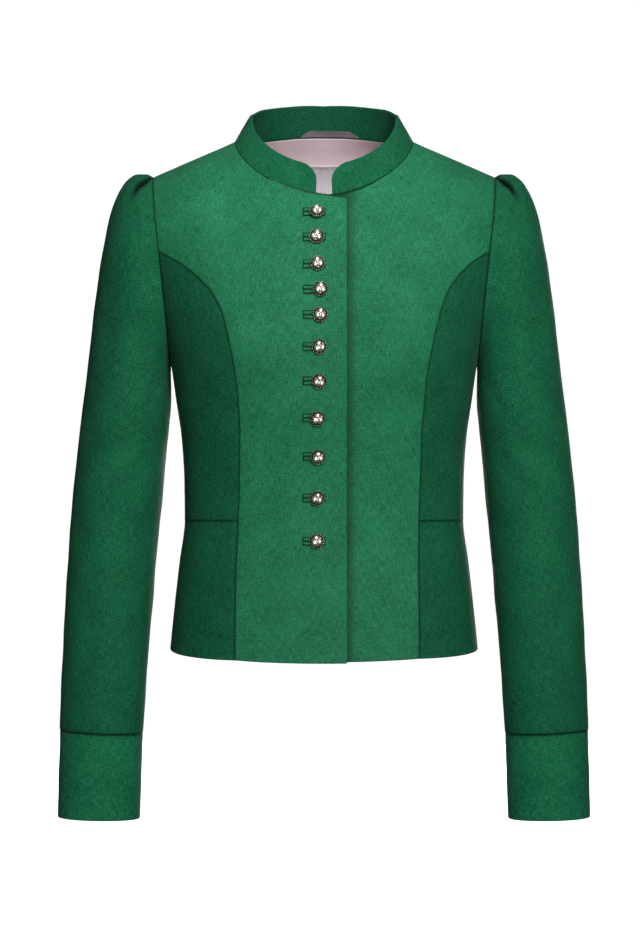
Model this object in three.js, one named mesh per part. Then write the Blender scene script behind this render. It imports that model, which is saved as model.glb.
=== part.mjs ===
// Dirndl jacket: a short, fitted linen jacket with princess seams, a stand collar, eleven domed
// buttons in bound buttonholes, sleeves pleated into the shoulders and straight cuffs sewn to them.
//
// Millimetres, +Z up, -Y is the wearer's front, +X the wearer's left. The origin lies midway between
// the two side neck points, on the line over which the wearer's shoulders carry the jacket.
// "drop" is how far a point lies below that line, so z = -drop.
//
// Body: the outer face of the cloth is one surface, torsoPoint. Every panel of it is a four-sided
// patch between its seams, and neighbours share the sample points of their seam, so that they meet
// along the same chords with a small gap. Sleeves and cuffs are rings lofted from the armhole down.

import * as THREE from "three";

// ---------- cloth and seams ----------
const CLOTH = 2; // linen with its interlining
const SLEEVE_CLOTH = 1.6;
const COLLAR_CLOTH = 3; // two layers and stiffening
const LINING = 1;
const TRIM = 0.8; // label, hanger loop, buttonhole lips
const SEAM_GAP = 0.36;
const LAP_OFFSET = 1.25; // half of what parts the two fronts where they lap
const LAP_EASE_FROM = 58; // that parting starts this far before the centre, seen from each front's own side
const LAP_EASE = 26; // and is complete after this width

// ---------- levels, as drops below the side neck point ----------
const FRONT_NECK_DROP = 60.2;
const WAIST_DROP = 377;
const HEM_SIDE_DROP = 505;
const HEM_FRONT_DIP = 9.5; // the hem hangs lower at the centre front
const HEM_UNDER_DIP = 8;
const HEM_BACK_DIP = 4;

// ---------- neck, shoulder and armhole ----------
const NECK_HALF_WIDTH = 89;
const NECK_POWER = 1.7; // outline of the neckline: 2 would be an ellipse
const BACK_NECK_DEPTH = 68; // how far behind the shoulder line the neckline runs at centre back
const BACK_NECK_LEVEL = -8; // drop of the body's ring that this depth is measured on
const SHOULDER_SLOPE = 0.43;
const TRAPEZIUS_RISE = 30.5; // the carrying surface rises this much towards the centre of the neck
const TRAPEZIUS_END = 105;
const FRONT_ROUND_NECK = 130; // height over which the front turns over the shoulder, at the neck
const FRONT_ROUND_TIP = 72; // and at the shoulder's tip
const ROUND_CHANGE_X = 92; // the one height starts to give way to the other here
const ROUND_CHANGE_WIDTH = 38;
const BACK_ROUND = 66;
const SHOULDER_TIP_X = 170.5;
const SHOULDER_TIP_DROP = 35;
const UNDERARM_DROP = 222;
const FRONT_JOIN_DROP = 113; // where the princess seams run into the armhole
const BACK_JOIN_DROP = 122;

// ---------- bust ----------
const BUST_X = 82;
const BUST_DROP = 205;
const BUST_OUT = 12;
const BUST_SPREAD_X = 42;
const BUST_SPREAD_DROP = 48;

// ---------- closing ----------
const LAP_EDGE_X = 22; // front edge of the upper layer
const UNDERLAP_EDGE_X = -24; // front edge of the layer below
const LAP_TOP_DIP = 1.8; // the front edges start this far below the collar's end
const UNDERLAP_TOP_DIP = 3.5;
const COLLAR_END_X = 8; // the collar stops this far from the centre
const BUTTON_X = [-6.8, -7.3, -6.2, -3.5, -3.9, -4.7, -4.9, -6.2, -5.7, -6.5, -7.1];
const BUTTON_RADIUS = 7.5;
const BUTTON_HEIGHT = 6.4;
const BUTTON_GAP = 1.75; // under it lie the lips of the buttonhole
const BUTTONHOLE = { left: -20.8, right: 1.4, height: 8.6, slit: 1.2, end: 2 };
const BUTTON_DROPS = [77.4, 102.4, 129, 153.7, 178.2, 208.8, 241.4, 276.7, 314, 354.3, 396.7];

// ---------- label; its half width counts columns of the back panel ----------
const LABEL = { topDrop: 12, bottomDrop: 56, halfWidth: 0.76 };

// ---------- collar ----------
// How far its top edge lies inwards of and above the neck seam; "round" runs from 0 at the centre
// front over 1 at the side to 2 at the centre back.
const COLLAR_RISE = [
  { round: 0, inward: 9, up: 31 },
  { round: 0.5, inward: 12.5, up: 29.5 },
  { round: 1, inward: 16, up: 27.5 },
  { round: 1.3, inward: 14, up: 32.5 },
  { round: 1.6, inward: 11, up: 33 },
  { round: 2, inward: 9, up: 32.5 },
];
const COLLAR_END_SHARE = 0.5; // height of its front end before the corner is rounded, as a share
const COLLAR_END_ROUND = 17; // length over which that corner is rounded

// Rings of the body: half width, depth in front of and behind the shoulder plane, and the power of
// each half's superellipse. Above the underarm the ring includes the room of the arm's root.
const TORSO = [
  { drop: -60, halfWidth: 214, front: 74, back: 92, frontPower: 2.2, backPower: 2.3 },
  { drop: 0, halfWidth: 212, front: 76, back: 102, frontPower: 2.2, backPower: 2.35 },
  { drop: 35, halfWidth: 208, front: 79, back: 108, frontPower: 2.25, backPower: 2.4 },
  { drop: 75, halfWidth: 199, front: 88, back: 111, frontPower: 2.4, backPower: 2.4 },
  { drop: 112, halfWidth: 186, front: 99, back: 111, frontPower: 2.5, backPower: 2.4 },
  { drop: 145, halfWidth: 172, front: 107.5, back: 110, frontPower: 2.6, backPower: 2.4 },
  { drop: 180, halfWidth: 161.5, front: 113, back: 107, frontPower: 2.65, backPower: 2.4 },
  { drop: 200, halfWidth: 156.6, front: 114.5, back: 104.5, frontPower: 2.65, backPower: 2.4 },
  { drop: 222, halfWidth: 152.6, front: 114, back: 101.5, frontPower: 2.6, backPower: 2.4 },
  { drop: 258, halfWidth: 147.5, front: 109.5, back: 95.5, frontPower: 2.5, backPower: 2.35 },
  { drop: 298, halfWidth: 142, front: 101, back: 88, frontPower: 2.4, backPower: 2.3 },
  { drop: 338, halfWidth: 139.6, front: 93.5, back: 82.5, frontPower: 2.3, backPower: 2.25 },
  { drop: 377, halfWidth: 139.2, front: 90, back: 80, frontPower: 2.25, backPower: 2.25 },
  { drop: 418, halfWidth: 144.2, front: 93, back: 86, frontPower: 2.3, backPower: 2.3 },
  { drop: 460, halfWidth: 149, front: 98.5, back: 96, frontPower: 2.35, backPower: 2.35 },
  { drop: 515, halfWidth: 154.6, front: 105, back: 107, frontPower: 2.4, backPower: 2.4 },
];

// The armhole seam as seen from the front.
const ARMHOLE = [
  { drop: 35, x: 170.5 },
  { drop: 80, x: 166 },
  { drop: 112, x: 162.4 },
  { drop: 145, x: 159 },
  { drop: 180, x: 156 },
  { drop: 222, x: 152.6 },
];

// Princess seams, and how far the front ones are shifted towards the wearer's left.
const FRONT_PRINCESS = [
  { drop: 113, x: 162.3, shift: 0 },
  { drop: 126, x: 141.5, shift: 1.5 },
  { drop: 140, x: 126, shift: 3.5 },
  { drop: 155, x: 114.5, shift: 5.5 },
  { drop: 175, x: 105.5, shift: 7 },
  { drop: 205, x: 98, shift: 7 },
  { drop: 245, x: 91.5, shift: 7 },
  { drop: 300, x: 88, shift: 6.5 },
  { drop: 377, x: 88, shift: 4.5 },
  { drop: 440, x: 89, shift: 3 },
  { drop: 515, x: 89.5, shift: 3 },
];
const BACK_PRINCESS = [
  { drop: 122, x: 161.2 },
  { drop: 138, x: 138 },
  { drop: 160, x: 115 },
  { drop: 190, x: 98 },
  { drop: 235, x: 84 },
  { drop: 300, x: 73 },
  { drop: 377, x: 67 },
  { drop: 440, x: 73 },
  { drop: 515, x: 83 },
];

// Sleeve rings from the armhole to the cuff seam: the outermost and innermost point of each, its
// depth in front and behind, how far its middle lies behind the shoulder plane, and how much of
// the armhole's own shape it keeps.
const SLEEVE = [
  { outX: 170.8, outDrop: 35, inX: 152.95, inDrop: 222, front: 60, back: 64, mid: 0, armhole: 1 },
  { outX: 177, outDrop: 32.4, inX: 153.3, inDrop: 224, front: 60, back: 64, mid: 0, armhole: 0.7 },
  { outX: 186, outDrop: 32.2, inX: 153.4, inDrop: 226, front: 60.5, back: 64, mid: 0, armhole: 0.4 },
  { outX: 195.5, outDrop: 37.2, inX: 153.4, inDrop: 228, front: 61, back: 63.5, mid: 0, armhole: 0.15 },
  { outX: 203.8, outDrop: 48, inX: 153.4, inDrop: 230.5, front: 61.5, back: 63, mid: 0, armhole: 0 },
  { outX: 210.5, outDrop: 63, inX: 153.3, inDrop: 233, front: 61.5, back: 62.5, mid: 0, armhole: 0 },
  { outX: 216, outDrop: 82, inX: 153.2, inDrop: 236.5, front: 61.5, back: 62, mid: 1, armhole: 0 },
  { outX: 221, outDrop: 108, inX: 153.1, inDrop: 242, front: 61, back: 61, mid: 2, armhole: 0 },
  { outX: 226.5, outDrop: 145, inX: 153, inDrop: 250, front: 60, back: 60, mid: 3, armhole: 0 },
  { outX: 232.5, outDrop: 191, inX: 153.2, inDrop: 262, front: 58.5, back: 58.5, mid: 4, armhole: 0 },
  { outX: 239, outDrop: 248, inX: 154.6, inDrop: 280, front: 56.5, back: 56.5, mid: 4, armhole: 0 },
  { outX: 246.5, outDrop: 311, inX: 158.8, inDrop: 322, front: 54, back: 54, mid: 3, armhole: 0 },
  { outX: 253, outDrop: 378, inX: 164.3, inDrop: 384, front: 50.5, back: 50.5, mid: 0, armhole: 0 },
  { outX: 257.3, outDrop: 444, inX: 169.8, inDrop: 448, front: 46, back: 46, mid: -5, armhole: 0 },
  { outX: 260.6, outDrop: 514, inX: 175.4, inDrop: 517, front: 41, back: 41, mid: -10, armhole: 0 },
  { outX: 263, outDrop: 585.8, inX: 180, inDrop: 589.4, front: 37, back: 37, mid: -14, armhole: 0 },
];
const CUFF = [
  { outX: 262.6, outDrop: 586.2, inX: 180.4, inDrop: 589.8, front: 36.4, back: 36.4, mid: -14 },
  { outX: 263.7, outDrop: 630, inX: 181.6, inDrop: 632.5, front: 35, back: 35, mid: -16.5 },
  { outX: 264.4, outDrop: 672, inX: 182.8, inDrop: 673.5, front: 34, back: 34, mid: -19 },
];

// The pleats that gather each sleeve head: one in front of the shoulder's tip and one behind it.
// "row" counts SLEEVE rows from the armhole, "angle" is the degrees round the ring from its top.
const PLEAT = { startAngle: 11, endAngle: 36, endRow: 2.7, edge: 5, hollow: 24 };
// Lifts at the ring's top, the pleat's edge, its crease and twice across its hollow: the puff of the
// whole head, and on it the pleat. Both grow from the armhole seam and fade down the sleeve, in rows.
const PUFF_LIFTS = [1.4, 1.3, 1, 0.7, 0.4];
const PLEAT_LIFTS = [0, 0.5, -6.5, -2.6, 0];
const HEAD_GROWS = 0.8;
const PUFF_FADES = { from: 3.4, over: 3.6 };
const PLEAT_FADES = { from: 1.7, over: 2.3 };

const SLEEVE_HEAD = [0, 0.4, 0.8, 1.2, 1.6, 2, 2.5, 3, 3.6, 4.2, 5]; // rows of the pleated part

// ---------- how many steps each seam is cut into ----------
const STEPS = {
  skirt: 4, // hem to waist
  bodice: 9, // waist to the princess seam's end
  armUpper: 2, // armhole from the pleat's hollow down to that end
  armLower: 5, // armhole below it
  neckFront: 6,
  lapEdge: 2, // from the collar's end to the front edge
  neckBack: 4, // side neck point to centre back
  shoulder: 4,
  sleeveBelow: 9, // sleeve below its pleats
  cuffRows: 3,
  cuffRound: 22,
  collarRows: 3,
};

// ---------- small maths ----------
const mix = (a, b, t) => a + (b - a) * t;
const clamp01 = (t) => Math.min(1, Math.max(0, t));
const smooth = (t) => {
  const c = clamp01(t);
  return c * c * (3 - 2 * c);
};
const steps = (n) => Array.from({ length: n + 1 }, (_, i) => i / n);
const radians = THREE.MathUtils.degToRad;

// A smooth curve through a table's rows that never overshoots them (monotone cubic), by its key.
function through(rows, key) {
  const columns = Object.keys(rows[0]).filter((name) => name !== key);
  const at = rows.map((row) => row[key]);
  const slope = {};
  for (const name of columns) {
    const value = rows.map((row) => row[name]);
    const secant = value.slice(1).map((v, i) => (v - value[i]) / (at[i + 1] - at[i]));
    slope[name] = value.map((_, i) => {
      if (i === 0) return secant[0];
      if (i === value.length - 1) return secant[i - 1];
      const a = secant[i - 1];
      const b = secant[i];
      return a * b <= 0 ? 0 : (2 * a * b) / (a + b);
    });
  }
  return (where) => {
    const w = Math.min(at.at(-1), Math.max(at[0], where));
    let i = 0;
    while (i < at.length - 2 && w > at[i + 1]) i++;
    const span = at[i + 1] - at[i];
    const t = (w - at[i]) / span;
    const out = {};
    for (const name of columns) {
      const a = rows[i][name];
      const b = rows[i + 1][name];
      out[name] =
        a * (2 * t ** 3 - 3 * t ** 2 + 1) +
        b * (3 * t ** 2 - 2 * t ** 3) +
        slope[name][i] * span * (t ** 3 - 2 * t ** 2 + t) +
        slope[name][i + 1] * span * (t ** 3 - t ** 2);
    }
    return out;
  };
}

const torsoRing = through(TORSO, "drop");
const armholeX = through(ARMHOLE, "drop");
const frontPrincess = through(FRONT_PRINCESS, "drop");
const backPrincess = through(BACK_PRINCESS, "drop");

// ---------- the body's surface ----------
const superellipse = (share, power) => {
  const rest = Math.max(0, 1 - Math.pow(Math.abs(share), power));
  return Math.pow(rest, 1 / power);
};

// Height of the shoulder line above the side neck points: straight down the shoulder, and rising
// in one cubic towards the centre inside it.
function ridge(x) {
  const across = Math.abs(x);
  const endHeight = -SHOULDER_SLOPE * (TRAPEZIUS_END - NECK_HALF_WIDTH);
  if (across >= TRAPEZIUS_END) return endHeight - SHOULDER_SLOPE * (across - TRAPEZIUS_END);
  const t = across / TRAPEZIUS_END;
  return (
    TRAPEZIUS_RISE * (2 * t ** 3 - 3 * t ** 2 + 1) +
    endHeight * (3 * t ** 2 - 2 * t ** 3) -
    SHOULDER_SLOPE * TRAPEZIUS_END * (t ** 3 - t ** 2)
  );
}

// The cloth leaves the shoulder line level and turns down over a quarter circle of this height.
function turnHeight(x, face) {
  if (face > 0) return BACK_ROUND;
  return mix(FRONT_ROUND_NECK, FRONT_ROUND_TIP, smooth((Math.abs(x) - ROUND_CHANGE_X) / ROUND_CHANGE_WIDTH));
}

function bust(x, drop, halfWidth) {
  const across = (Math.abs(x) - BUST_X) / BUST_SPREAD_X;
  const down = (drop - BUST_DROP) / BUST_SPREAD_DROP;
  const fade = 1 - Math.pow(Math.abs(x) / halfWidth, 6);
  return BUST_OUT * Math.exp(-across * across - down * down) * fade;
}

// y of the outer face at (x, drop); face is -1 for the front and +1 for the back.
function torsoY(x, drop, face) {
  const ring = torsoRing(drop);
  const depth = face < 0 ? ring.front : ring.back;
  const power = face < 0 ? ring.frontPower : ring.backPower;
  const cup = face < 0 && Math.abs(x) < ring.halfWidth ? bust(x, drop, ring.halfWidth) : 0;
  const below = clamp01((drop + ridge(x)) / turnHeight(x, face));
  const turn = Math.sqrt(Math.max(0, 1 - (1 - below) ** 2));
  return face * turn * (depth * superellipse(x / ring.halfWidth, power) + cup);
}

// A lateral coordinate is either x itself, or the angle round the ring from the centre front for
// the panels at the sides. Both give the same surface.
const byX = (face) => (x, drop) => new THREE.Vector3(x, torsoY(x, drop, face), -drop);
const byAngle = (side) => (angle, drop) => {
  const ring = torsoRing(drop);
  const inFront = angle < Math.PI / 2;
  const depth = inFront ? ring.front : ring.back;
  const power = inFront ? ring.frontPower : ring.backPower;
  const s = Math.sin(angle);
  const c = Math.cos(angle);
  const wide = Math.pow(Math.abs(s) / ring.halfWidth, power);
  const deep = Math.pow(Math.abs(c) / depth, power);
  const radius = Math.pow(wide + deep, -1 / power);
  const x = radius * s;
  const cup = inFront ? bust(x, drop, ring.halfWidth) : 0;
  return new THREE.Vector3(side * x, -radius * c - cup, -drop);
};
// The angle of the point of the ring at (x, drop).
function angleAt(x, drop, face) {
  const ring = torsoRing(drop);
  const depth = face < 0 ? ring.front : ring.back;
  const power = face < 0 ? ring.frontPower : ring.backPower;
  return Math.atan2(Math.abs(x), -face * depth * superellipse(x / ring.halfWidth, power));
}

// Outward normal of a surface map at (a, b), by central differences.
function normalOf(map, a, b, stepA, stepB, outward) {
  const alongA = map(a + stepA, b).sub(map(a - stepA, b));
  const alongB = map(a, b + stepB).sub(map(a, b - stepB));
  const n = alongA.cross(alongB).normalize();
  return n.dot(outward) < 0 ? n.negate() : n;
}

// ---------- seams, as arrays of [lateral, drop] ----------
const hemDrop = (x, dip) => {
  const share = clamp01(1 - (Math.abs(x) / torsoRing(HEM_SIDE_DROP).halfWidth) ** 2);
  return HEM_SIDE_DROP + dip * Math.pow(share, 0.8);
};

const ARMHOLE_HEIGHT = UNDERARM_DROP - SHOULDER_TIP_DROP;
const armAngle = (drop) => Math.acos(1 - (2 * (drop - SHOULDER_TIP_DROP)) / ARMHOLE_HEIGHT);
const armDrop = (angle) => SHOULDER_TIP_DROP + (ARMHOLE_HEIGHT * (1 - Math.cos(angle))) / 2;

const FRONT_JOIN = armAngle(FRONT_JOIN_DROP);
const BACK_JOIN = armAngle(BACK_JOIN_DROP);

// Angles of half a ring's columns, 0 at the shoulder's tip and pi at the underarm: the pleat's edge,
// its crease, its hollow, then even steps to the princess seam's end and on to the underarm.
function halfAngles(way, join) {
  const crease = radians(mix(PLEAT.startAngle, PLEAT.endAngle, way));
  const end = crease + radians(PLEAT.hollow);
  const pleat = [0, crease - radians(PLEAT.edge), crease, (crease + end) / 2, end];
  const upper = steps(STEPS.armUpper).slice(1).map((t) => mix(end, join, t));
  const lower = steps(STEPS.armLower).slice(1).map((t) => mix(join, Math.PI, t));
  return [...pleat, ...upper, ...lower];
}
// The same angles at the armhole seam, as the stretch above or below the princess seam's end.
function armholeRun(join, part) {
  const angles = halfAngles(0, join);
  const split = angles.length - 1 - STEPS.armLower;
  const run = part === "upper" ? angles.slice(0, split + 1) : angles.slice(split);
  return run.map((angle) => [armholeX(armDrop(angle)).x, armDrop(angle)]);
}

const princessX = (drop, face, side) =>
  face > 0 ? backPrincess(drop).x : frontPrincess(drop).x + side * frontPrincess(drop).shift;

// A princess seam from the hem to the armhole. The bodice steps crowd where the seam bends.
function princessRun(face, side, dip) {
  const join = face < 0 ? FRONT_JOIN_DROP : BACK_JOIN_DROP;
  const hemX = princessX(HEM_SIDE_DROP, face, side);
  const skirt = steps(STEPS.skirt).map((t) => mix(hemDrop(hemX, dip), WAIST_DROP, t));
  const bodice = steps(STEPS.bodice).map((t) => mix(WAIST_DROP, join, 1 - (1 - t) ** 1.75));
  return [...skirt, ...bodice.slice(1)].map((drop, i, all) => {
    const x = i === all.length - 1 ? armholeX(join).x : princessX(drop, face, side);
    return [x, drop];
  });
}

// The side seam, with as many steps.
function sideRun() {
  const skirt = steps(STEPS.skirt).map((t) => mix(HEM_SIDE_DROP, WAIST_DROP, t));
  const bodice = steps(STEPS.bodice).map((t) => mix(WAIST_DROP, UNDERARM_DROP, t));
  return [...skirt, ...bodice.slice(1)].map((drop) => [Math.PI / 2, drop]);
}

// Neckline from the side neck point to the centre, or to the collar's end in front.
function neckFrontRun() {
  const last = Math.asin(Math.pow(COLLAR_END_X / NECK_HALF_WIDTH, NECK_POWER / 2));
  return steps(STEPS.neckFront).map((t) => {
    const angle = mix(Math.PI / 2, last, t);
    return [
      NECK_HALF_WIDTH * Math.pow(Math.sin(angle), 2 / NECK_POWER),
      FRONT_NECK_DROP * Math.pow(Math.max(0, Math.cos(angle)), 2 / NECK_POWER),
    ];
  });
}
function neckBackRun() {
  return steps(STEPS.neckBack).map((t) => {
    const angle = mix(Math.PI / 2, 0, t);
    const x = NECK_HALF_WIDTH * Math.pow(Math.sin(angle), 2 / NECK_POWER);
    const behind = BACK_NECK_DEPTH * Math.pow(Math.max(0, Math.cos(angle)), 2 / NECK_POWER);
    const ring = torsoRing(BACK_NECK_LEVEL);
    const turn = behind / (ring.back * superellipse(x / ring.halfWidth, ring.backPower));
    return [x, BACK_ROUND * (1 - Math.sqrt(1 - turn * turn)) - ridge(x)];
  });
}
// Shoulder seam from the tip to the side neck point.
function shoulderRun() {
  return steps(STEPS.shoulder).map((t) => {
    const x = mix(SHOULDER_TIP_X, NECK_HALF_WIDTH, t);
    return [x, -ridge(x)];
  });
}

// ---------- patches ----------
// Fills four boundaries with a grid of [lateral, drop]: bottom and top run with the columns, left
// and right with the rows.
function fillPatch(bottom, top, left, right) {
  const columns = bottom.length - 1;
  const rows = left.length - 1;
  return steps(columns).map((u, i) =>
    steps(rows).map((v, j) =>
      [0, 1].map(
        (k) =>
          (1 - v) * bottom[i][k] +
          v * top[i][k] +
          (1 - u) * left[j][k] +
          u * right[j][k] -
          (1 - u) * ((1 - v) * bottom[0][k] + v * top[0][k]) -
          u * ((1 - v) * bottom[columns][k] + v * top[columns][k]),
      ),
    ),
  );
}

// A patch's points and outward normals on the body, with its edges drawn in by half a seam gap.
function placePatch(grid, map, stepA, offset = () => 0) {
  const centre = new THREE.Vector3(0, 0, -300);
  const points = grid.map((column) => column.map(([a, b]) => map(a, b)));
  const normals = grid.map((column, i) =>
    column.map(([a, b], j) => {
      const p = points[i][j];
      const n = normalOf(map, a, b, stepA, 0.4, p.clone().sub(centre).setZ(40));
      return Math.abs(p.y) < 0.01 ? n.setY(0).normalize() : n;
    }),
  );
  const last = [points.length - 1, points[0].length - 1];
  const drawn = points.map((column, i) =>
    column.map((p, j) => {
      const n = normals[i][j];
      const moved = p.clone();
      const tangent = (di, dj) => {
        const a = points[Math.min(last[0], i + di)][Math.min(last[1], j + dj)];
        const b = points[Math.max(0, i - di)][Math.max(0, j - dj)];
        return a.clone().sub(b).normalize();
      };
      const inward = (edge, towards) => {
        const across = new THREE.Vector3().crossVectors(n, edge).normalize();
        const sign = Math.sign(across.dot(towards.clone().sub(p))) || 1;
        moved.addScaledVector(across, (sign * SEAM_GAP) / 2);
      };
      if (i === 0) inward(tangent(0, 1), points[1][j]);
      if (i === last[0]) inward(tangent(0, 1), points[last[0] - 1][j]);
      if (j === 0) inward(tangent(1, 0), points[i][1]);
      if (j === last[1]) inward(tangent(1, 0), points[i][last[1] - 1]);
      return moved.addScaledVector(n, offset(p));
    }),
  );
  return { points: drawn, normals };
}

// Closed wall between a grid of outer points and the same grid moved in along its normals. A ring
// closes on itself across its columns.
function wall({ points, normals }, from, to, ring = false) {
  const columns = points.length;
  const rows = points[0].length;
  const vertices = [];
  for (const depth of [from, to]) {
    for (let i = 0; i < columns; i++) {
      for (let j = 0; j < rows; j++) {
        const p = points[i][j].clone().addScaledVector(normals[i][j], -depth);
        vertices.push(p.x, p.y, p.z);
      }
    }
  }
  const at = (layer, i, j) => layer * columns * rows + (i % columns) * rows + j;
  const index = [];
  const quad = (a, b, c, d) => index.push(a, b, c, a, c, d);
  const spans = ring ? columns : columns - 1;
  for (let i = 0; i < spans; i++) {
    for (let j = 0; j < rows - 1; j++) {
      quad(at(0, i, j), at(0, i + 1, j), at(0, i + 1, j + 1), at(0, i, j + 1));
      quad(at(1, i, j), at(1, i, j + 1), at(1, i + 1, j + 1), at(1, i + 1, j));
    }
    quad(at(0, i + 1, 0), at(0, i, 0), at(1, i, 0), at(1, i + 1, 0));
    quad(at(0, i, rows - 1), at(0, i + 1, rows - 1), at(1, i + 1, rows - 1), at(1, i, rows - 1));
  }
  if (!ring) {
    for (let j = 0; j < rows - 1; j++) {
      quad(at(0, 0, j), at(0, 0, j + 1), at(1, 0, j + 1), at(1, 0, j));
      const e = columns - 1;
      quad(at(0, e, j + 1), at(0, e, j), at(1, e, j), at(1, e, j + 1));
    }
  }
  return facingOut(new THREE.Float32BufferAttribute(vertices, 3), index);
}

// Turns every face round if the closed mesh holds a negative volume.
function facingOut(position, index) {
  let volume = 0;
  const [a, b, c] = [new THREE.Vector3(), new THREE.Vector3(), new THREE.Vector3()];
  for (let k = 0; k < index.length; k += 3) {
    a.fromBufferAttribute(position, index[k]);
    b.fromBufferAttribute(position, index[k + 1]);
    c.fromBufferAttribute(position, index[k + 2]);
    volume += a.dot(b.clone().cross(c));
  }
  const turned = volume < 0 ? index.map((_, k) => index[k - (k % 3) + (2 - (k % 3))]) : index;
  return new THREE.BufferGeometry().setAttribute("position", position).setIndex(turned);
}

// ---------- materials ----------
const linen = new THREE.MeshStandardMaterial({ name: "linen", color: 0x1f6b48, roughness: 0.9 });
const satin = new THREE.MeshStandardMaterial({ name: "lining", color: 0xd9b3bd, roughness: 0.45 });
const woven = new THREE.MeshStandardMaterial({ name: "label", color: 0xbab6b8, roughness: 0.7 });
const ribbon = new THREE.MeshStandardMaterial({ name: "ribbon", color: 0x857a82, roughness: 0.5 });
const oldSilver = new THREE.MeshStandardMaterial({
  name: "old_silver",
  color: 0xb9b1a6,
  roughness: 0.35,
  metalness: 1,
});

const jacket = new THREE.Group();
function add(name, geometry, material) {
  const mesh = new THREE.Mesh(geometry, material);
  mesh.name = name;
  jacket.add(mesh);
  return mesh;
}
const sides = [
  { name: "right", sign: -1 },
  { name: "left", sign: 1 },
];

// ---------- fronts ----------
// side is -1 for the wearer's right front, which laps over the left one.
const lapOffset = (side) => (p) => -side * LAP_OFFSET * smooth((LAP_EASE_FROM - side * p.x) / LAP_EASE);

function frontGrid(side) {
  const edge = side < 0 ? LAP_EDGE_X : UNDERLAP_EDGE_X;
  const dip = side < 0 ? HEM_FRONT_DIP : HEM_UNDER_DIP;
  const collarEnd = neckFrontRun().at(-1);
  const topDrop = collarEnd[1] + (side < 0 ? LAP_TOP_DIP : UNDERLAP_TOP_DIP);
  const lap = steps(STEPS.lapEdge)
    .slice(1)
    .map((t) => [mix(collarEnd[0], side * edge, t), mix(collarEnd[1], topDrop, t)]);
  const top = [...shoulderRun(), ...neckFrontRun().slice(1), ...lap].map(([x, d]) => [side * x, d]);
  const armside = [
    ...princessRun(-1, side, dip),
    ...armholeRun(FRONT_JOIN, "upper").reverse().slice(1),
  ].map(([x, d]) => [side * x, d]);
  const hemX = armside[0][0];
  const bottom = steps(top.length - 1).map((t) => {
    const x = mix(hemX, edge, t);
    return [x, hemDrop(x, dip)];
  });
  const centreEdge = steps(armside.length - 1).map((t, j) => {
    const level = j <= STEPS.skirt ? mix(bottom.at(-1)[1], WAIST_DROP, j / STEPS.skirt) : 0;
    const rest = (j - STEPS.skirt) / (armside.length - 1 - STEPS.skirt);
    return [edge, j <= STEPS.skirt ? level : mix(WAIST_DROP, topDrop, rest)];
  });
  return fillPatch(bottom, top, armside, centreEdge);
}
const fronts = {};
for (const { name, sign } of sides) {
  fronts[name] = placePatch(frontGrid(sign), byX(-1), 0.4, lapOffset(sign));
  add(`front_${name}`, wall(fronts[name], 0, CLOTH), linen);
}

// ---------- side fronts, cut at the waist ----------
function sideFrontGrid(side, part) {
  const dip = side < 0 ? HEM_FRONT_DIP : HEM_UNDER_DIP;
  const skirt = part === "lower";
  const rows = skirt ? [0, STEPS.skirt + 1] : [STEPS.skirt, undefined];
  const inner = princessRun(-1, side, dip).slice(...rows).map(([x, d]) => [angleAt(x, d, -1), d]);
  const outer = sideRun().slice(...rows);
  const across = (a, b) =>
    steps(STEPS.armLower).map((t) => {
      const angle = mix(a[0], b[0], t);
      return [angle, mix(a[1], b[1], skirt ? 1 - Math.cos((t * Math.PI) / 2) : t)];
    });
  const level = (a, b) => steps(STEPS.armLower).map((t) => [mix(a[0], b[0], t), mix(a[1], b[1], t)]);
  const armhole = armholeRun(FRONT_JOIN, "lower").map(([x, d]) => [angleAt(x, d, -1), d]);
  const bottom = skirt ? across(inner[0], outer[0]) : level(inner[0], outer[0]);
  const top = skirt ? level(inner.at(-1), outer.at(-1)) : armhole;
  return fillPatch(bottom, top, inner, outer);
}
for (const { name, sign } of sides) {
  for (const part of ["upper", "lower"]) {
    const placed = placePatch(sideFrontGrid(sign, part), byAngle(sign), 0.004);
    add(`side_front_${name}_${part}`, wall(placed, 0, CLOTH), linen);
  }
}

// ---------- side backs ----------
function sideBackGrid() {
  const outer = sideRun();
  const inner = princessRun(1, 1, HEM_BACK_DIP).map(([x, d]) => [angleAt(x, d, 1), d]);
  const armhole = armholeRun(BACK_JOIN, "lower").reverse().map(([x, d]) => [angleAt(x, d, 1), d]);
  const bottom = steps(STEPS.armLower).map((t) => [
    mix(outer[0][0], inner[0][0], t),
    mix(outer[0][1], inner[0][1], Math.sin((t * Math.PI) / 2)),
  ]);
  return fillPatch(bottom, armhole, outer, inner);
}
for (const { name, sign } of sides) {
  const placed = placePatch(sideBackGrid(), byAngle(sign), 0.004);
  add(`side_back_${name}`, wall(placed, 0, CLOTH), linen);
}

// ---------- back ----------
function backGrid() {
  const half = [...princessRun(1, 1, HEM_BACK_DIP), ...armholeRun(BACK_JOIN, "upper").reverse().slice(1)];
  const mirrored = (run) => run.map(([x, d]) => [-x, d]);
  const topHalf = [...shoulderRun(), ...neckBackRun().slice(1)];
  const top = [...mirrored(topHalf), ...topHalf.slice(0, -1).reverse()];
  const bottom = steps(top.length - 1).map((t) => {
    const x = mix(-half[0][0], half[0][0], t);
    return [x, hemDrop(x, HEM_BACK_DIP)];
  });
  return fillPatch(bottom, top, mirrored(half), half);
}
const back = placePatch(backGrid(), byX(1), 0.4);
add("back", wall(back, 0, CLOTH), linen);

// ---------- collar ----------
// Base points on the neckline run from one collar end over the back to the other.
function collarBase() {
  const front = neckFrontRun().map(([x, d]) => ({ x, drop: d, face: -1 }));
  const back = neckBackRun().slice(1).map(([x, d]) => ({ x, drop: d, face: 1 }));
  const half = [...front.reverse(), ...back];
  const base = [...half.map((b) => ({ ...b, x: -b.x })), ...half.slice(0, -1).reverse()];
  return base.map(({ x, drop, face }) => new THREE.Vector3(x, torsoY(x, drop, face), -drop));
}

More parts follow.
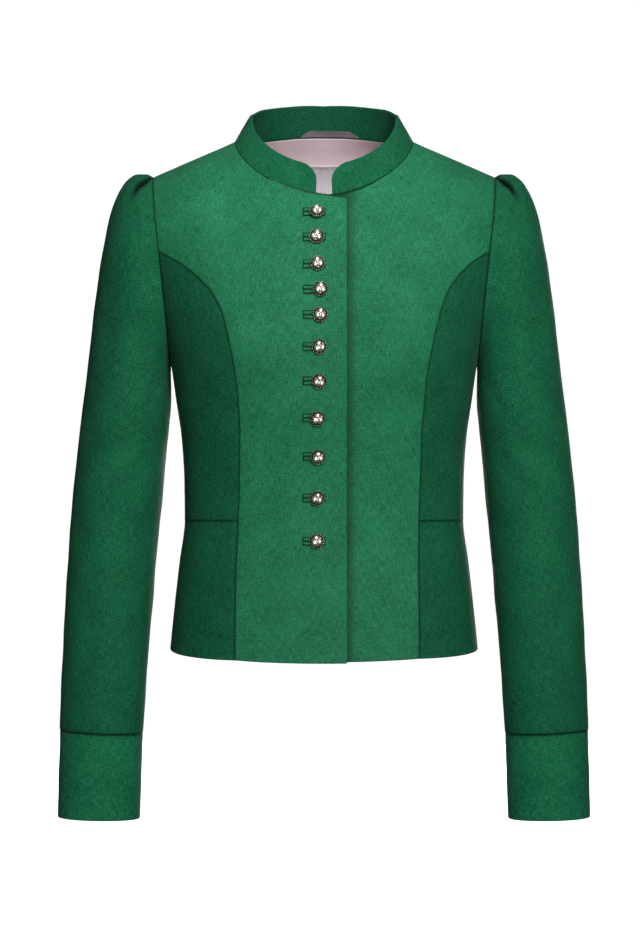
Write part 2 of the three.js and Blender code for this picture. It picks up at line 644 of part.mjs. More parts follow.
const collarRise = through(COLLAR_RISE, "round");
function collarGrid() {
  const base = collarBase();
  const count = base.length - 1;
  const ends = [0, 0.2, 0.55]; // closer where the corners are rounded
  const inner = steps(count).slice(1, -1).map((t) => t * count);
  const stops = [...ends, ...inner, ...ends.map((e) => count - e).reverse()];
  const spots = stops.map((u) => {
    const i = Math.min(count - 1, Math.floor(u));
    return base[i].clone().lerp(base[i + 1], u - i);
  });
  const along = spots.map((_, i) => (i ? spots[i].distanceTo(spots[i - 1]) : 0));
  along.forEach((length, i) => (along[i] = length + (along[i - 1] ?? 0)));
  const points = [];
  const normals = [];
  spots.forEach((p, i) => {
    const k = Math.round(stops[i]);
    const tangent = base[Math.min(count, k + 1)].clone().sub(base[Math.max(0, k - 1)]).normalize();
    const inward = new THREE.Vector3(-tangent.y, tangent.x, 0).normalize();
    if (inward.dot(p) > 0) inward.negate();
    const rise = collarRise(Math.abs(Math.atan2(p.x, -p.y)) / (Math.PI / 2));
    const up = inward.multiplyScalar(rise.inward).add(new THREE.Vector3(0, 0, rise.up));
    const face = tangent.clone().cross(up).normalize();
    if (face.dot(p.clone().setZ(0)) < 0) face.negate();
    const fromEnd = Math.min(along[i], along.at(-1) - along[i]);
    const corner = superellipse(1 - Math.min(1, fromEnd / COLLAR_END_ROUND), 2);
    const share = mix(COLLAR_END_SHARE, 1, corner);
    const foot = SEAM_GAP / 2 / up.length();
    points.push(steps(STEPS.collarRows).map((t) => p.clone().addScaledVector(up, mix(foot, share, t))));
    normals.push(steps(STEPS.collarRows).map(() => face));
  });
  return { points, normals };
}
const collar = collarGrid();
add("collar", wall(collar, 0, COLLAR_CLOTH), linen);

// ---------- sleeves and cuffs ----------
const numbered = (rows) => rows.map((row, i) => ({ row: i, ...row }));
const sleeveRing = through(numbered(SLEEVE), "row");
const cuffRing = through(numbered(CUFF), "row");

// The point of a ring at an angle that runs from its top over the front, underneath and the back.
function plainRing(ring, angle) {
  const t = (1 - Math.cos(angle)) / 2;
  const s = Math.sin(angle);
  const y = ring.mid - s * (s > 0 ? ring.front : ring.back);
  return new THREE.Vector3(mix(ring.outX, ring.inX, t), y, -mix(ring.outDrop, ring.inDrop, t));
}
function armholePoint(angle) {
  const drop = armDrop(angle);
  const x = armholeX(drop).x;
  return new THREE.Vector3(x + SEAM_GAP, torsoY(x, drop, Math.sin(angle) > 0 ? -1 : 1), -drop);
}
// The plain ring plus what is left of the difference between the armhole and the first ring.
function sleevePoint(row, angle) {
  const ring = sleeveRing(row);
  const rest = armholePoint(angle).sub(plainRing(SLEEVE[0], angle)).multiplyScalar(ring.armhole);
  return plainRing(ring, angle).add(rest);
}

// How far each column of half a ring is lifted along the normal: the puffed head, with the pleat's
// raised edge and sunk crease.
const fading = (row, fades) => 1 - smooth((row - fades.from) / fades.over);
function lift(row, step) {
  const puff = (PUFF_LIFTS[step] ?? 0) * fading(row, PUFF_FADES);
  const pleat = (PLEAT_LIFTS[step] ?? 0) * fading(row, PLEAT_FADES);
  return smooth(row / HEAD_GROWS) * (puff + pleat);
}

function sleeveGrid() {
  const below = steps(STEPS.sleeveBelow).slice(1).map((t) => mix(SLEEVE_HEAD.at(-1), SLEEVE.length - 1, t));
  const rows = [...SLEEVE_HEAD, ...below];
  const half = halfAngles(0, 0).length - 1;
  const columns = Array.from({ length: 2 * half }, (_, k) => k);
  const stepOf = (k) => Math.min(k, 2 * half - k);
  const angleOf = (row, k) => {
    const angles = halfAngles(clamp01(row / PLEAT.endRow), k <= half ? FRONT_JOIN : BACK_JOIN);
    return k <= half ? angles[k] : 2 * Math.PI - angles[2 * half - k];
  };
  const normals = columns.map((k) =>
    rows.map((row) => ringNormal(sleevePoint, row, angleOf(row, k), sleeveRing)),
  );
  const points = columns.map((k) =>
    rows.map((row, j) => {
      const p = sleevePoint(row, angleOf(row, k)).addScaledVector(normals[k][j], lift(row, stepOf(k)));
      return j === rows.length - 1 ? p.setZ(p.z + SEAM_GAP) : p;
    }),
  );
  return { points, normals };
}
function ringNormal(point, row, angle, ring) {
  const map = (a, b) => point(Math.max(0, b), a);
  const r = ring(row);
  const middle = new THREE.Vector3((r.outX + r.inX) / 2, r.mid, -(r.outDrop + r.inDrop) / 2);
  const around = map(angle + 0.02, row).sub(map(angle - 0.02, row));
  const along = map(angle, row + 0.02).sub(map(angle, Math.max(0, row - 0.02)));
  const n = around.cross(along).normalize();
  return n.dot(point(row, angle).sub(middle)) < 0 ? n.negate() : n;
}
function cuffGrid() {
  const rows = steps(STEPS.cuffRows).map((t) => t * (CUFF.length - 1));
  const point = (row, angle) => plainRing(cuffRing(row), angle);
  const angles = steps(STEPS.cuffRound).slice(0, -1).map((t) => t * 2 * Math.PI);
  return {
    points: angles.map((a) => rows.map((row) => point(row, a))),
    normals: angles.map((a) => rows.map((row) => ringNormal(point, row, a, cuffRing))),
  };
}
function mirrored({ points, normals }, sign) {
  const flip = (grid) => grid.map((column) => column.map((p) => new THREE.Vector3(sign * p.x, p.y, p.z)));
  return { points: flip(points), normals: flip(normals) };
}
for (const { name, sign } of sides) {
  add(`sleeve_${name}`, wall(mirrored(sleeveGrid(), sign), 0, SLEEVE_CLOTH, true), linen);
  add(`cuff_${name}`, wall(mirrored(cuffGrid(), sign), 0, CLOTH, true), linen);
}

// ---------- lining, label and hanger loop, made from the points of what they lie on ----------
// Points and normals of a grid at fractional columns and rows.
function pick({ points, normals }, columns, rows) {
  const at = (grid, u, v) => {
    const i = Math.min(grid.length - 2, Math.floor(u));
    const j = Math.min(grid[0].length - 2, Math.floor(v));
    const low = grid[i][j].clone().lerp(grid[i + 1][j], u - i);
    return low.lerp(grid[i][j + 1].clone().lerp(grid[i + 1][j + 1], u - i), v - j);
  };
  const all = (grid) => columns.map((u, k) => rows[k].map((v) => at(grid, u, v)));
  return { points: all(points), normals: all(normals).map((column) => column.map((n) => n.normalize())) };
}

// Back lining: it follows the upper rows of the back panel, inside it.
const centreColumn = (back.points.length - 1) / 2;
const topRow = back.points[0].length - 1;
const LINING_ROWS = 8;
const liningDepth = CLOTH + SEAM_GAP;
const backTop = {
  points: back.points.map((column) => column.slice(topRow - LINING_ROWS)),
  normals: back.normals.map((column) => column.slice(topRow - LINING_ROWS)),
};
add("lining_back", wall(backTop, liningDepth, liningDepth + LINING), satin);

// The back panel's fractional row at a height, on its centre column.
function backRow(z) {
  const column = back.points[centreColumn];
  const above = column.findIndex((p) => p.z > z);
  return above - (column[above].z - z) / (column[above].z - column[above - 1].z);
}
// Blank label on the lining under the collar, on the panel's own rows.
const labelEnds = [backRow(-LABEL.bottomDrop), backRow(-LABEL.topDrop)];
const between = steps(topRow).map((t) => t * topRow).filter((r) => r > labelEnds[0] && r < labelEnds[1]);
const labelColumns = [-1, -0.5, 0, 0.5, 1].map((c) => centreColumn + c * LABEL.halfWidth);
const labelRows = labelColumns.map(() => [labelEnds[0], ...between, labelEnds[1]]);
const labelDepth = liningDepth + LINING + SEAM_GAP;
add("label", wall(pick(back, labelColumns, labelRows), labelDepth, labelDepth + TRIM), woven);

// Hanger loop: a ribbon in a low arch on the inside of the collar, its ends in the neck seam. Its
// lower and upper edges are shares of the collar's rise.
const collarCentre = (collar.points.length - 1) / 2;
const loopColumns = [-0.9, -0.62, 0, 0.6, 1.04, 1.4].map((c) => collarCentre + c);
const loopLow = [0.012, 0.035, 0.045, 0.045, 0.035, 0.012];
const loopHigh = [0.04, 0.18, 0.19, 0.19, 0.18, 0.04];
const loopRows = loopColumns.map((_, k) => [loopLow[k], loopHigh[k]].map((t) => t * STEPS.collarRows));
const loopDepth = COLLAR_CLOTH + SEAM_GAP;
add("hanger_loop", wall(pick(collar, loopColumns, loopRows), loopDepth, loopDepth + TRIM), ribbon);

// ---------- buttons and buttonholes ----------
// Where the upper front's outer face lies under (x, z), from its own facets, and how it leans there.
function onUpperFront(x, z) {
  const { points } = fronts.right;
  const hit = new THREE.Vector3();
  const ray = new THREE.Ray(new THREE.Vector3(x, -400, z), new THREE.Vector3(0, 1, 0));
  for (let i = 0; i < points.length - 1; i++) {
    for (let j = 0; j < points[0].length - 1; j++) {
      const [a, b, c, d] = [points[i][j], points[i + 1][j], points[i + 1][j + 1], points[i][j + 1]];
      for (const face of [[a, b, c], [a, c, d]]) {
        if (ray.intersectTriangle(...face, false, hit)) {
          const normal = new THREE.Triangle(...face).getNormal(new THREE.Vector3());
          return { y: hit.y, normal: normal.y > 0 ? normal.negate() : normal };
        }
      }
    }
  }
  throw new Error(`no cloth under a button at ${x}, ${z}`);
}

// A flat frame of two lips round a slit, its corners laid on the cloth.
function buttonholeGeometry(z) {
  const { left, right, height, slit, end } = BUTTONHOLE;
  const outer = [[left, -height / 2], [right, -height / 2], [right, height / 2], [left, height / 2]];
  const inner = [
    [left + end, -slit / 2],
    [right - end, -slit / 2],
    [right - end, slit / 2],
    [left + end, slit / 2],
  ];
  const vertices = [];
  for (const depth of [SEAM_GAP + TRIM, SEAM_GAP]) {
    for (const [x, dz] of [...outer, ...inner]) {
      const { y, normal } = onUpperFront(x, z + dz);
      vertices.push(x + normal.x * depth, y + normal.y * depth, z + dz + normal.z * depth);
    }
  }
  const index = [];
  const quad = (a, b, c, d) => index.push(a, b, c, a, c, d);
  for (let k = 0; k < 4; k++) {
    const n = (k + 1) % 4;
    quad(k, n, n + 4, k + 4);
    quad(k + 8, k + 12, n + 12, n + 8);
    quad(n, k, k + 8, n + 8);
    quad(k + 4, n + 4, n + 12, k + 12);
  }
  return facingOut(new THREE.Float32BufferAttribute(vertices, 3), index);
}

// A dome on a rim, turned from a profile of [radius, height].
const buttonProfile = [
  [0, 0],
  [BUTTON_RADIUS * 0.86, 0],
  [BUTTON_RADIUS, 1],
  [BUTTON_RADIUS * 0.97, 1.9],
  [BUTTON_RADIUS * 0.72, 3.4],
  [BUTTON_RADIUS * 0.62, 4.4],
  [BUTTON_RADIUS * 0.36, 5.8],
  [0, BUTTON_HEIGHT],
].map(([r, h]) => new THREE.Vector2(r, h));
const buttonGeometry = new THREE.LatheGeometry(buttonProfile, 14);

BUTTON_DROPS.forEach((drop, k) => {
  const number = String(k + 1).padStart(2, "0");
  add(`buttonhole_${number}`, buttonholeGeometry(-drop), linen);
  const { y, normal } = onUpperFront(BUTTON_X[k], -drop);
  const button = add(`button_${number}`, buttonGeometry, oldSilver);
  button.quaternion.setFromUnitVectors(new THREE.Vector3(0, 1, 0), normal);
  button.position.set(BUTTON_X[k], y, -drop).addScaledVector(normal, BUTTON_GAP);
});

export default jacket;
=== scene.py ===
from math import pi, radians
from types import SimpleNamespace

import bpy
import numpy as np
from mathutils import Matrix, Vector


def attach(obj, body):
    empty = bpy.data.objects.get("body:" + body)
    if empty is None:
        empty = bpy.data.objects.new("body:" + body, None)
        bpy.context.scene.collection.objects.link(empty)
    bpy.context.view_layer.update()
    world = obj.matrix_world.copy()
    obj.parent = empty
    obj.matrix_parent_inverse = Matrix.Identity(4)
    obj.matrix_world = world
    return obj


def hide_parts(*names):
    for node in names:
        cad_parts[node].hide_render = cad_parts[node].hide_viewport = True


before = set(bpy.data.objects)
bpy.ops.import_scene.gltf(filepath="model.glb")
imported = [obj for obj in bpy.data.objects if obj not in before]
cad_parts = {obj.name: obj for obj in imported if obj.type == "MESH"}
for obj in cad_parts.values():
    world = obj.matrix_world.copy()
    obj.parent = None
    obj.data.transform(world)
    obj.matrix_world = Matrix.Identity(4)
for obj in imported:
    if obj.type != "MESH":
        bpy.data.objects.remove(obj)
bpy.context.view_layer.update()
print("frame loaded,", len(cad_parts), "nodes")

# Shapes are worked out in millimetres; +Z up, -Y the wearer's front, +X the wearer's left, and
# "drop" is how far a point lies below the side neck points. Meshes are made in metres.
mm = 0.001
bodyMiddle = [0, 0, -300]
sideNames = {-1: "Right", 1: "Left"}

# Camera and light.
cameraPlace = {"aside": -4.0, "away": 3000.0, "drop": 324.0, "pictureHeight": 933.0, "sensor": 36.0,
               "clip": 50}


def makeCamera():
    # focal length = sensor x distance / height of the picture at the shoulders, so a step is a millimetre
    data = bpy.data.cameras.new("camera")
    data.sensor_width = cameraPlace["sensor"]
    data.lens = cameraPlace["sensor"] * cameraPlace["away"] / cameraPlace["pictureHeight"]
    data.clip_end = cameraPlace["clip"]
    camera = bpy.data.objects.new("camera", data)
    camera.location = (cameraPlace["aside"] * mm, -cameraPlace["away"] * mm, -cameraPlace["drop"] * mm)
    camera.rotation_euler = (radians(90), 0, 0)
    bpy.context.collection.objects.link(camera)
    bpy.context.scene.camera = camera


lamps = {
    "key": {"place": (0.6, -2.4, 0.7), "aim": (0, 0, -0.2), "power": 234, "cone": 32, "radius": 0.3},
    "neck": {"place": (-0.45, -1.65, 0.85), "aim": (0, 0.08, -0.02), "power": 64, "cone": 14, "radius": 0.1},
    "fill": {"place": (0.2, -2.6, -0.75), "aim": (0, 0, -0.5), "size": (1.8, 1.2), "power": 38},
    "top": {"place": (0.2, -0.2, 1.9), "aim": (0, 0.0, -0.1), "size": (1.0, 0.8), "power": 8},
    "back": {"place": (0.3, 3.2, -0.1), "aim": (0, 0, -0.35), "size": (2.6, 1.4), "power": 115},
}
studio = {
    "ambient": 0.12, "backdrop": 1.0, "paper": (0.2, 0.2, 0.2), "paperGlow": 1.0,
    "floorDrop": 0.9, "floorFront": -6, "floorHalfWidth": 8.0, "wallBehind": 6.0, "wallTop": 6, "bend": 0.9,
}


def addLamp(name, values):
    # a spot where the values give a cone, and otherwise a rectangle of light, turned to face its aim
    light = bpy.data.lights.new(name + "Light", "SPOT" if "cone" in values else "AREA")
    light.energy = values["power"]
    if "cone" in values:
        light.spot_size = radians(values["cone"])
        light.spot_blend = 1.0
        light.shadow_soft_size = values["radius"]
    else:
        light.shape = "RECTANGLE"
        light.size, light.size_y = values["size"]
    lamp = bpy.data.objects.new(name + "Light", light)
    lamp.visible_camera = False
    lamp.location = values["place"]
    direction = Vector(values["aim"]) - Vector(values["place"])
    lamp.rotation_euler = direction.to_track_quat("-Z", "Y").to_euler()
    bpy.context.collection.objects.link(lamp)


def makeStudio():
    # a faint ambient light, and a pale backdrop where a camera looks past the paper
    for name, values in lamps.items():
        addLamp(name, values)
    world = bpy.data.worlds.new("softbox")
    world.use_nodes = True
    nodes, links = world.node_tree.nodes, world.node_tree.links
    seen = nodes.new("ShaderNodeLightPath")
    strength = nodes.new("ShaderNodeMapRange")
    strength.inputs["To Min"].default_value = studio["ambient"]
    strength.inputs["To Max"].default_value = studio["backdrop"]
    links.new(seen.outputs["Is Camera Ray"], strength.inputs["Value"])
    links.new(strength.outputs["Result"], nodes["Background"].inputs["Strength"])
    nodes["Background"].inputs["Color"].default_value = (1, 1, 1, 1)
    bpy.context.scene.world = world
    bpy.context.scene.view_settings.view_transform = "Standard"

    # a floor that runs up into the wall over a quarter circle: one profile carried across
    level, wall, bend = -studio["floorDrop"], studio["wallBehind"], studio["bend"]
    turn = np.linspace(0, pi / 2, 24)
    profileY = np.concatenate([[studio["floorFront"]], wall - bend + bend * np.sin(turn), [wall]])
    profileZ = np.concatenate([[level], level + bend - bend * np.cos(turn), [studio["wallTop"]]])
    x = np.array([-1, 1]) * studio["floorHalfWidth"]
    points = np.stack(np.broadcast_arrays(x[:, None], profileY[None], profileZ[None]), -1)
    quads = gridFaces(*points.shape[:2])[0]
    floor = buildMesh("studio_floor", points.reshape(-1, 3) / mm, quads, [makePaper()], sharp=None)


# Small maths on whole arrays.
def mix(a, b, t):
    # a, plus the share t of the way from a to b
    return a + (b - a) * t


def smooth(t):
    # three t squared less two t cubed: zero up to 0, one from 1, level at both ends
    t = np.clip(t, 0, 1)
    return t * t * (3 - 2 * t)


def bell(x, width):
    # e to the power of minus the square of x over width
    return np.exp(-((x / width) ** 2))


def curveThrough(table, key):
    # a cubic through the table's rows for each column, read by the key column: its slope at a row is the
    # harmonic mean of the slopes beside it, and zero where their signs differ
    at = np.array(table[key], float)
    columns = {}
    for name, values in table.items():
        if name == key:
            continue
        value = np.array(values, float)
        secant = np.diff(value) / np.diff(at)
        slope = np.empty_like(value)
        slope[0], slope[-1] = secant[0], secant[-1]
        product = secant[:-1] * secant[1:]
        total = secant[:-1] + secant[1:]
        slope[1:-1] = np.where(product > 0, 2 * product / np.where(total == 0, 1, total), 0)
        columns[name] = (value, slope)

    def read(where):
        # between two points: 3 s^2 - 2 s^3 of the way, bent to meet the slopes at both
        w = np.clip(where, at[0], at[-1])
        i = np.clip(np.searchsorted(at, w, side="left") - 1, 0, len(at) - 2)
        span = at[i + 1] - at[i]
        t = (w - at[i]) / span
        out = {}
        for name, (value, slope) in columns.items():
            out[name] = (
                value[i] * (2 * t**3 - 3 * t**2 + 1)
                + value[i + 1] * (3 * t**2 - 2 * t**3)
                + slope[i] * span * (t**3 - 2 * t**2 + t)
                + slope[i + 1] * span * (t**3 - t**2)
            )
        return SimpleNamespace(**out)

    return read


def unit(v):
    # each vector over its own length
    return v / np.maximum(np.linalg.norm(v, axis=-1, keepdims=True), 1e-12)


def unevenness(u, v, size, seed):
    # the sum of nine sine waves in seeded directions, each 0.6 to 1.7 sizes long, over 4.2: about one high
    random = np.random.default_rng(seed)
    total = np.zeros(np.broadcast(u, v).shape)
    for _ in range(9):
        angle, phase = random.uniform(0, pi), random.uniform(0, 2 * pi)
        length = size * random.uniform(0.6, 1.7)
        total += np.sin((u * np.cos(angle) + v * np.sin(angle)) * 2 * pi / length + phase)
    return total / 4.2


def creaseField(u, v, creases, seed=1):
    # each crease is a bell across a line that bows aside as a parabola, less 0.45 of a wider one beside
    # it; it fades at both ends, and its depth and width wander with the unevenness
    field = np.zeros(np.broadcast(u, v).shape)
    for number, (fromU, fromV, toU, toV, width, depth, bow) in enumerate(creases):
        along = np.array([toU - fromU, toV - fromV], float)
        length = np.hypot(*along)
        along /= length
        t = ((u - fromU) * along[0] + (v - fromV) * along[1]) / length
        aside = -(u - fromU) * along[1] + (v - fromV) * along[0] - bow * 4 * t * (1 - t)
        wander = unevenness(u, v, 70, seed * 31 + number)
        spread = width * (1 + 0.25 * wander)
        fade = smooth((t + 0.12) / 0.42) * smooth((1.12 - t) / 0.42)
        valley = bell(aside, spread)
        shoulder = 0.45 * bell(aside - 2.1 * spread, 1.3 * spread)
        field -= depth * fade * (1 + 0.3 * wander) * (valley - shoulder)
    return field


# Meshes.
def gridFaces(columns, rows, closed=False):
    # a quad between each two columns and rows, vertex = column x rows + row, with each corner's column
    # and row; a closed grid's last column meets the first
    spans = columns if closed else columns - 1
    i, j = np.meshgrid(np.arange(spans), np.arange(rows - 1), indexing="ij")
    n = (i + 1) % columns if closed else i + 1
    quads = np.stack([i * rows + j, n * rows + j, n * rows + j + 1, i * rows + j + 1], -1).reshape(-1, 4)
    corners = np.stack([i, i + 1, i + 1, i], -1).reshape(-1, 4)
    levels = np.stack([j, j, j + 1, j + 1], -1).reshape(-1, 4)
    return quads, corners, levels


def buildMesh(name, vertices, faces, materials, faceUv=None, faceMaterial=None, marks=None, sharp=48):
    # vertices in mm, faceUv per face corner, faceMaterial per face, marks a dict of values per vertex
    mesh = bpy.data.meshes.new(name)
    faces = faces.tolist() if isinstance(faces, np.ndarray) else faces
    mesh.from_pydata((np.asarray(vertices) * mm).tolist(), [], faces)
    for material in materials:
        mesh.materials.append(material)
    if faceMaterial is not None:
        mesh.polygons.foreach_set("material_index", np.asarray(faceMaterial, np.int32))
    if faceUv is not None:
        layer = mesh.uv_layers.new(name="cloth")
        layer.data.foreach_set("uv", np.asarray(faceUv, np.float32).ravel())
    for label, values in (marks or {}).items():
        attribute = mesh.attributes.new(label, "FLOAT", "POINT")
        attribute.data.foreach_set("value", np.asarray(values, np.float32).ravel())
    mesh.polygons.foreach_set("use_smooth", np.ones(len(mesh.polygons), bool))
    mesh.update()
    if sharp:
        mesh.set_sharp_from_angle(angle=radians(sharp))
    piece = bpy.data.objects.new(name, mesh)
    bpy.context.collection.objects.link(piece)
    return piece


def gridNormals(points, closed=False, outward=None):
    # the cross product of the slopes along both directions, turned to the side that "outward" points
    # to: by default away from a closed grid's own middle, or from a point in the middle of the body
    wrapped = np.concatenate([points[-1:], points, points[:1]]) if closed else points
    alongColumns = np.gradient(wrapped, axis=0)
    if closed:
        alongColumns = alongColumns[1:-1]
    normals = unit(np.cross(alongColumns, np.gradient(points, axis=1)))
    if outward is None:
        outward = points - (np.mean(points, axis=0, keepdims=True) if closed else bodyMiddle)
    flip = np.sign(np.sum(normals * outward)) or 1
    return normals * flip, flip


def edgeDistances(points, closed=False):
    # how far each point lies from the four edges of its grid, along the grid's own lines
    stepU = np.linalg.norm(np.diff(points, axis=0), axis=-1)
    stepV = np.linalg.norm(np.diff(points, axis=1), axis=-1)
    fromLeft = np.concatenate([np.zeros((1, points.shape[1])), np.cumsum(stepU, 0)])
    fromBottom = np.concatenate([np.zeros((points.shape[0], 1)), np.cumsum(stepV, 1)], 1)
    far = np.full(points.shape[:2], 1e3)
    left, right = (far, far) if closed else (fromLeft, fromLeft[-1:] - fromLeft)
    return {"left": left, "right": right, "bottom": fromBottom, "top": fromBottom[:, -1:] - fromBottom}


# How far the cloth turns down at its edges and over what width, how far it is turned up inside, how much
# it stands proud beside a seam whose allowances lie under it, how far it reaches into the seam, and how
# much of the painted shade at its edge the cloth over it hides.
edgeForms = {
    "name": ["seam", "over", "under", "armhole", "collarFoot", "fold", "collarFold", "plain"],
    "width": [0.9, 0.9, 1.0, 1.0, 0.9, 1.3, 1.6, 1.0],
    "down": [0.7, 0.65, 0.85, 0.9, 0.65, 0.9, 1.3, 0.0],
    "inside": [0.0, 0.0, 0.0, 0.0, 0.0, 0.45, 1.3, 0.0],
    "proud": [0.0, 0.45, -0.15, 0.5, 0.45, 0.0, 0.0, 0.0],
    "reach": [0.3, 0.5, 1.1, 1.7, 0.5, 0.0, 0.0, 0.0],
    "hidden": [0.0, 0.0, 0.4, 0.0, 0.6, 0.0, 0.0, 0.0],
}
edgeRows = {"left": np.s_[0], "right": np.s_[-1], "bottom": np.s_[:, 0], "top": np.s_[:, -1]}
nextRows = {"left": np.s_[1], "right": np.s_[-2], "bottom": np.s_[:, 1], "top": np.s_[:, -2]}


def edgeForm(name):
    # the row of the table with this name
    at = edgeForms["name"].index(name)
    return SimpleNamespace(**{key: column[at] for key, column in edgeForms.items()})


def shapeEdges(distance, edges, wave, pucker):
    # over its width each edge turns down by "down" x a quarter circle; beside a seam the cloth stands
    # proud in a bell 1.9 mm wide, puckers in one 5.5 mm wide, and gets painted shade in one 1 mm wide
    down, inside, dark = np.zeros((3, *wave.shape))
    for side, name in edges.items():
        form, far = edgeForm(name), distance[side]
        turned = 1 - np.sqrt(np.clip(1 - (1 - np.clip(far / form.width, 0, 1)) ** 2, 0, 1))
        down = np.maximum(down, form.down * turned)
        inside = np.maximum(inside, form.inside * turned)
        if form.reach:
            dark = np.maximum(dark, bell(np.maximum(far - form.hidden, 0), 1))
            down = down - form.proud * bell(far - 1.7, 1.9)
            down = down + pucker * bell(far - 4.5, 5.5) * wave
    return down, inside, dark


def clothShell(name, points, thickness, edges, uv, materials, lift=0, closed=False, inner=1, outward=None,
               pucker=0.1, seed=5, shade=0, deepest=np.inf, shadeInside=0):
    # a wall between the surface and the same surface moved in along its normals, rounded at its
    # edges as "edges" says, with lift mm of folds; puckers run along its seams; "inner" says which
    # material each point of the inner side has, "deepest" how far down that side stays, "shade" is
    # painted shadow where another piece or a fold lies close over the cloth, and "shadeInside" painted shade
    # on the inner side
    normals, flip = gridNormals(points, closed, outward)
    distance = edgeDistances(points, closed)
    columns, rows = points.shape[:2]
    wave = unevenness(uv[:columns, :, 0] / mm, uv[:columns, :, 1] / mm, 15, seed)
    down, inside, dark = shapeEdges(distance, edges, wave, pucker)
    dark = np.clip(dark + shade, 0, 1.3)
    seams = {side: edgeForm(form).reach for side, form in edges.items() if edgeForm(form).reach}
    points = points.copy()
    for side, reach in seams.items():
        points[edgeRows[side]] += unit(points[edgeRows[side]] - points[nextRows[side]]) * reach
    lift = np.broadcast_to(lift, down.shape)
    nearSeam = np.minimum.reduce([np.full(down.shape, 1e3), *(distance[side] for side in seams)])
    inner = np.where(nearSeam < 14, 0, inner)
    outer = points + normals * (lift - down)[..., None]
    within = points + normals * (np.minimum(lift, deepest) - thickness + inside)[..., None]
    count = columns * rows
    quads, corners, levels = gridFaces(columns, rows, closed)
    uvFaces = uv[corners, levels]
    if flip < 0:
        quads, uvFaces = quads[:, ::-1], uvFaces[:, ::-1]
    faces, faceUv = [quads, quads[:, ::-1] + count], [uvFaces, uvFaces[:, ::-1]]
    faceMaterial = [np.zeros(len(quads), int), inner[corners[:, 0], levels[:, 0]]]
    flatUv = uv[:columns].reshape(-1, 2)
    for rim, level in rimRows(columns, rows, closed):
        strip = np.stack([rim[:-1], rim[1:], rim[1:] + count, rim[:-1] + count], -1)
        if (level > 0) == (flip > 0):
            strip = strip[:, ::-1]
        faces.append(strip)
        faceUv.append(flatUv[strip % count])
        faceMaterial.append(np.zeros(len(strip), int))
    vertices = np.concatenate([outer.reshape(-1, 3), within.reshape(-1, 3)])
    # the "seam" mark is painted shade: in the seam grooves and from "shade"; the inner side gets 0.3 of it
    # plus "shadeInside"
    marks = {"seam": np.concatenate([dark.ravel(), 0.3 * dark.ravel() + shadeInside])}
    return buildMesh(name, vertices, np.concatenate(faces), materials, np.concatenate(faceUv),
                     np.concatenate(faceMaterial), marks)


def rimRows(columns, rows, closed):
    # the vertices along each edge, and which way the strip over them faces
    around = np.arange(columns + closed) % columns
    rims = [(around * rows, 1), (around * rows + rows - 1, -1)]
    if not closed:
        up = np.arange(rows)
        rims += [(up, -1), ((columns - 1) * rows + up, 1)]
    return rims


# The body's surface.
bodyForm = {
    "cloth": 2.0, "seamGap": 0.36, "waistDrop": 377.0, "hemSideDrop": 505.0, "hemFacingDrop": 478,
    "hemDip": {"frontRight": 9.5, "frontLeft": 8.0, "back": 4.0},
    "neckHalfWidth": 89, "neckPower": 1.7, "frontNeckDrop": 60.2, "backNeckDepth": 68,
    "shoulderSlope": 0.43, "trapeziusRise": 30.5, "trapeziusEnd": 105,
    "frontRoundNeck": 130, "frontRoundTip": 72, "backRound": 66,
    "shoulderTipX": 170.5, "shoulderTipDrop": 35, "underarmDrop": 222,
    "frontJoinDrop": 113, "backJoinDrop": 122,
}
bustForm = {"x": 82, "drop": 205, "out": 12, "spreadX": 42, "spreadDrop": 48}
closing = {"lapEdgeX": 22, "underlapEdgeX": -24, "collarEndX": 8, "offset": 1.25, "edgeStandsOff": 0.9,
           "topBelow": {"Right": 3.2, "Left": 4.6}, "facingX": 34, "lapShade": 0.85, "lapShadeWidth": 7}

torsoRing = curveThrough({
    "drop": [-60, 0, 35, 75, 112, 145, 180, 200, 222, 258, 298, 338, 377, 418, 460, 515],
    "halfWidth": [214, 212, 208, 199, 186, 172, 161.5, 156.6, 152.6, 147.5, 142, 139.6, 139.2, 144.2, 149,
                  154.6],
    "front": [74, 76, 79, 88, 99, 107.5, 113, 114.5, 114, 109.5, 101, 93.5, 90, 93, 98.5, 105],
    "back": [92, 102, 108, 111, 111, 110, 107, 104.5, 101.5, 95.5, 88, 82.5, 80, 86, 96, 107],
    "frontPower": [2.2, 2.2, 2.25, 2.4, 2.5, 2.6, 2.65, 2.65, 2.6, 2.5, 2.4, 2.3, 2.25, 2.3, 2.35, 2.4],
    "backPower": [2.3, 2.35, 2.4, 2.4, 2.4, 2.4, 2.4, 2.4, 2.4, 2.35, 2.3, 2.25, 2.25, 2.3, 2.35, 2.4],
}, "drop")
armholeX = curveThrough({
    "drop": [35, 80, 112, 145, 180, 222],
    "x": [170.5, 166, 162.4, 159, 156, 152.6],
}, "drop")
frontPrincess = curveThrough({
    "drop": [113, 126, 140, 155, 175, 205, 245, 300, 377, 440, 515],
    "x": [162.3, 141.5, 126, 114.5, 105.5, 98, 91.5, 88, 88, 89, 89.5],
    "shift": [0, 1.5, 3.5, 5.5, 7, 7, 7, 6.5, 4.5, 3, 3],
}, "drop")
backPrincess = curveThrough({
    "drop": [122, 138, 160, 190, 235, 300, 377, 440, 515],
    "x": [161.2, 138, 115, 98, 84, 73, 67, 73, 83],
}, "drop")


def superellipse(share, power):
    # the power-th root of one less the share's power
    return np.maximum(0, 1 - np.abs(share) ** power) ** (1 / power)


def ridge(x):
    # height of the shoulder line: straight down the shoulder, one cubic over the neck
    across, end, slope = np.abs(x), bodyForm["trapeziusEnd"], bodyForm["shoulderSlope"]
    endHeight = -slope * (end - bodyForm["neckHalfWidth"])
    t = np.minimum(across / end, 1)
    inside = (bodyForm["trapeziusRise"] * (2 * t**3 - 3 * t**2 + 1) + endHeight * (3 * t**2 - 2 * t**3)
              - slope * end * (t**3 - t**2))
    return np.where(across >= end, endHeight - slope * (across - end), inside)


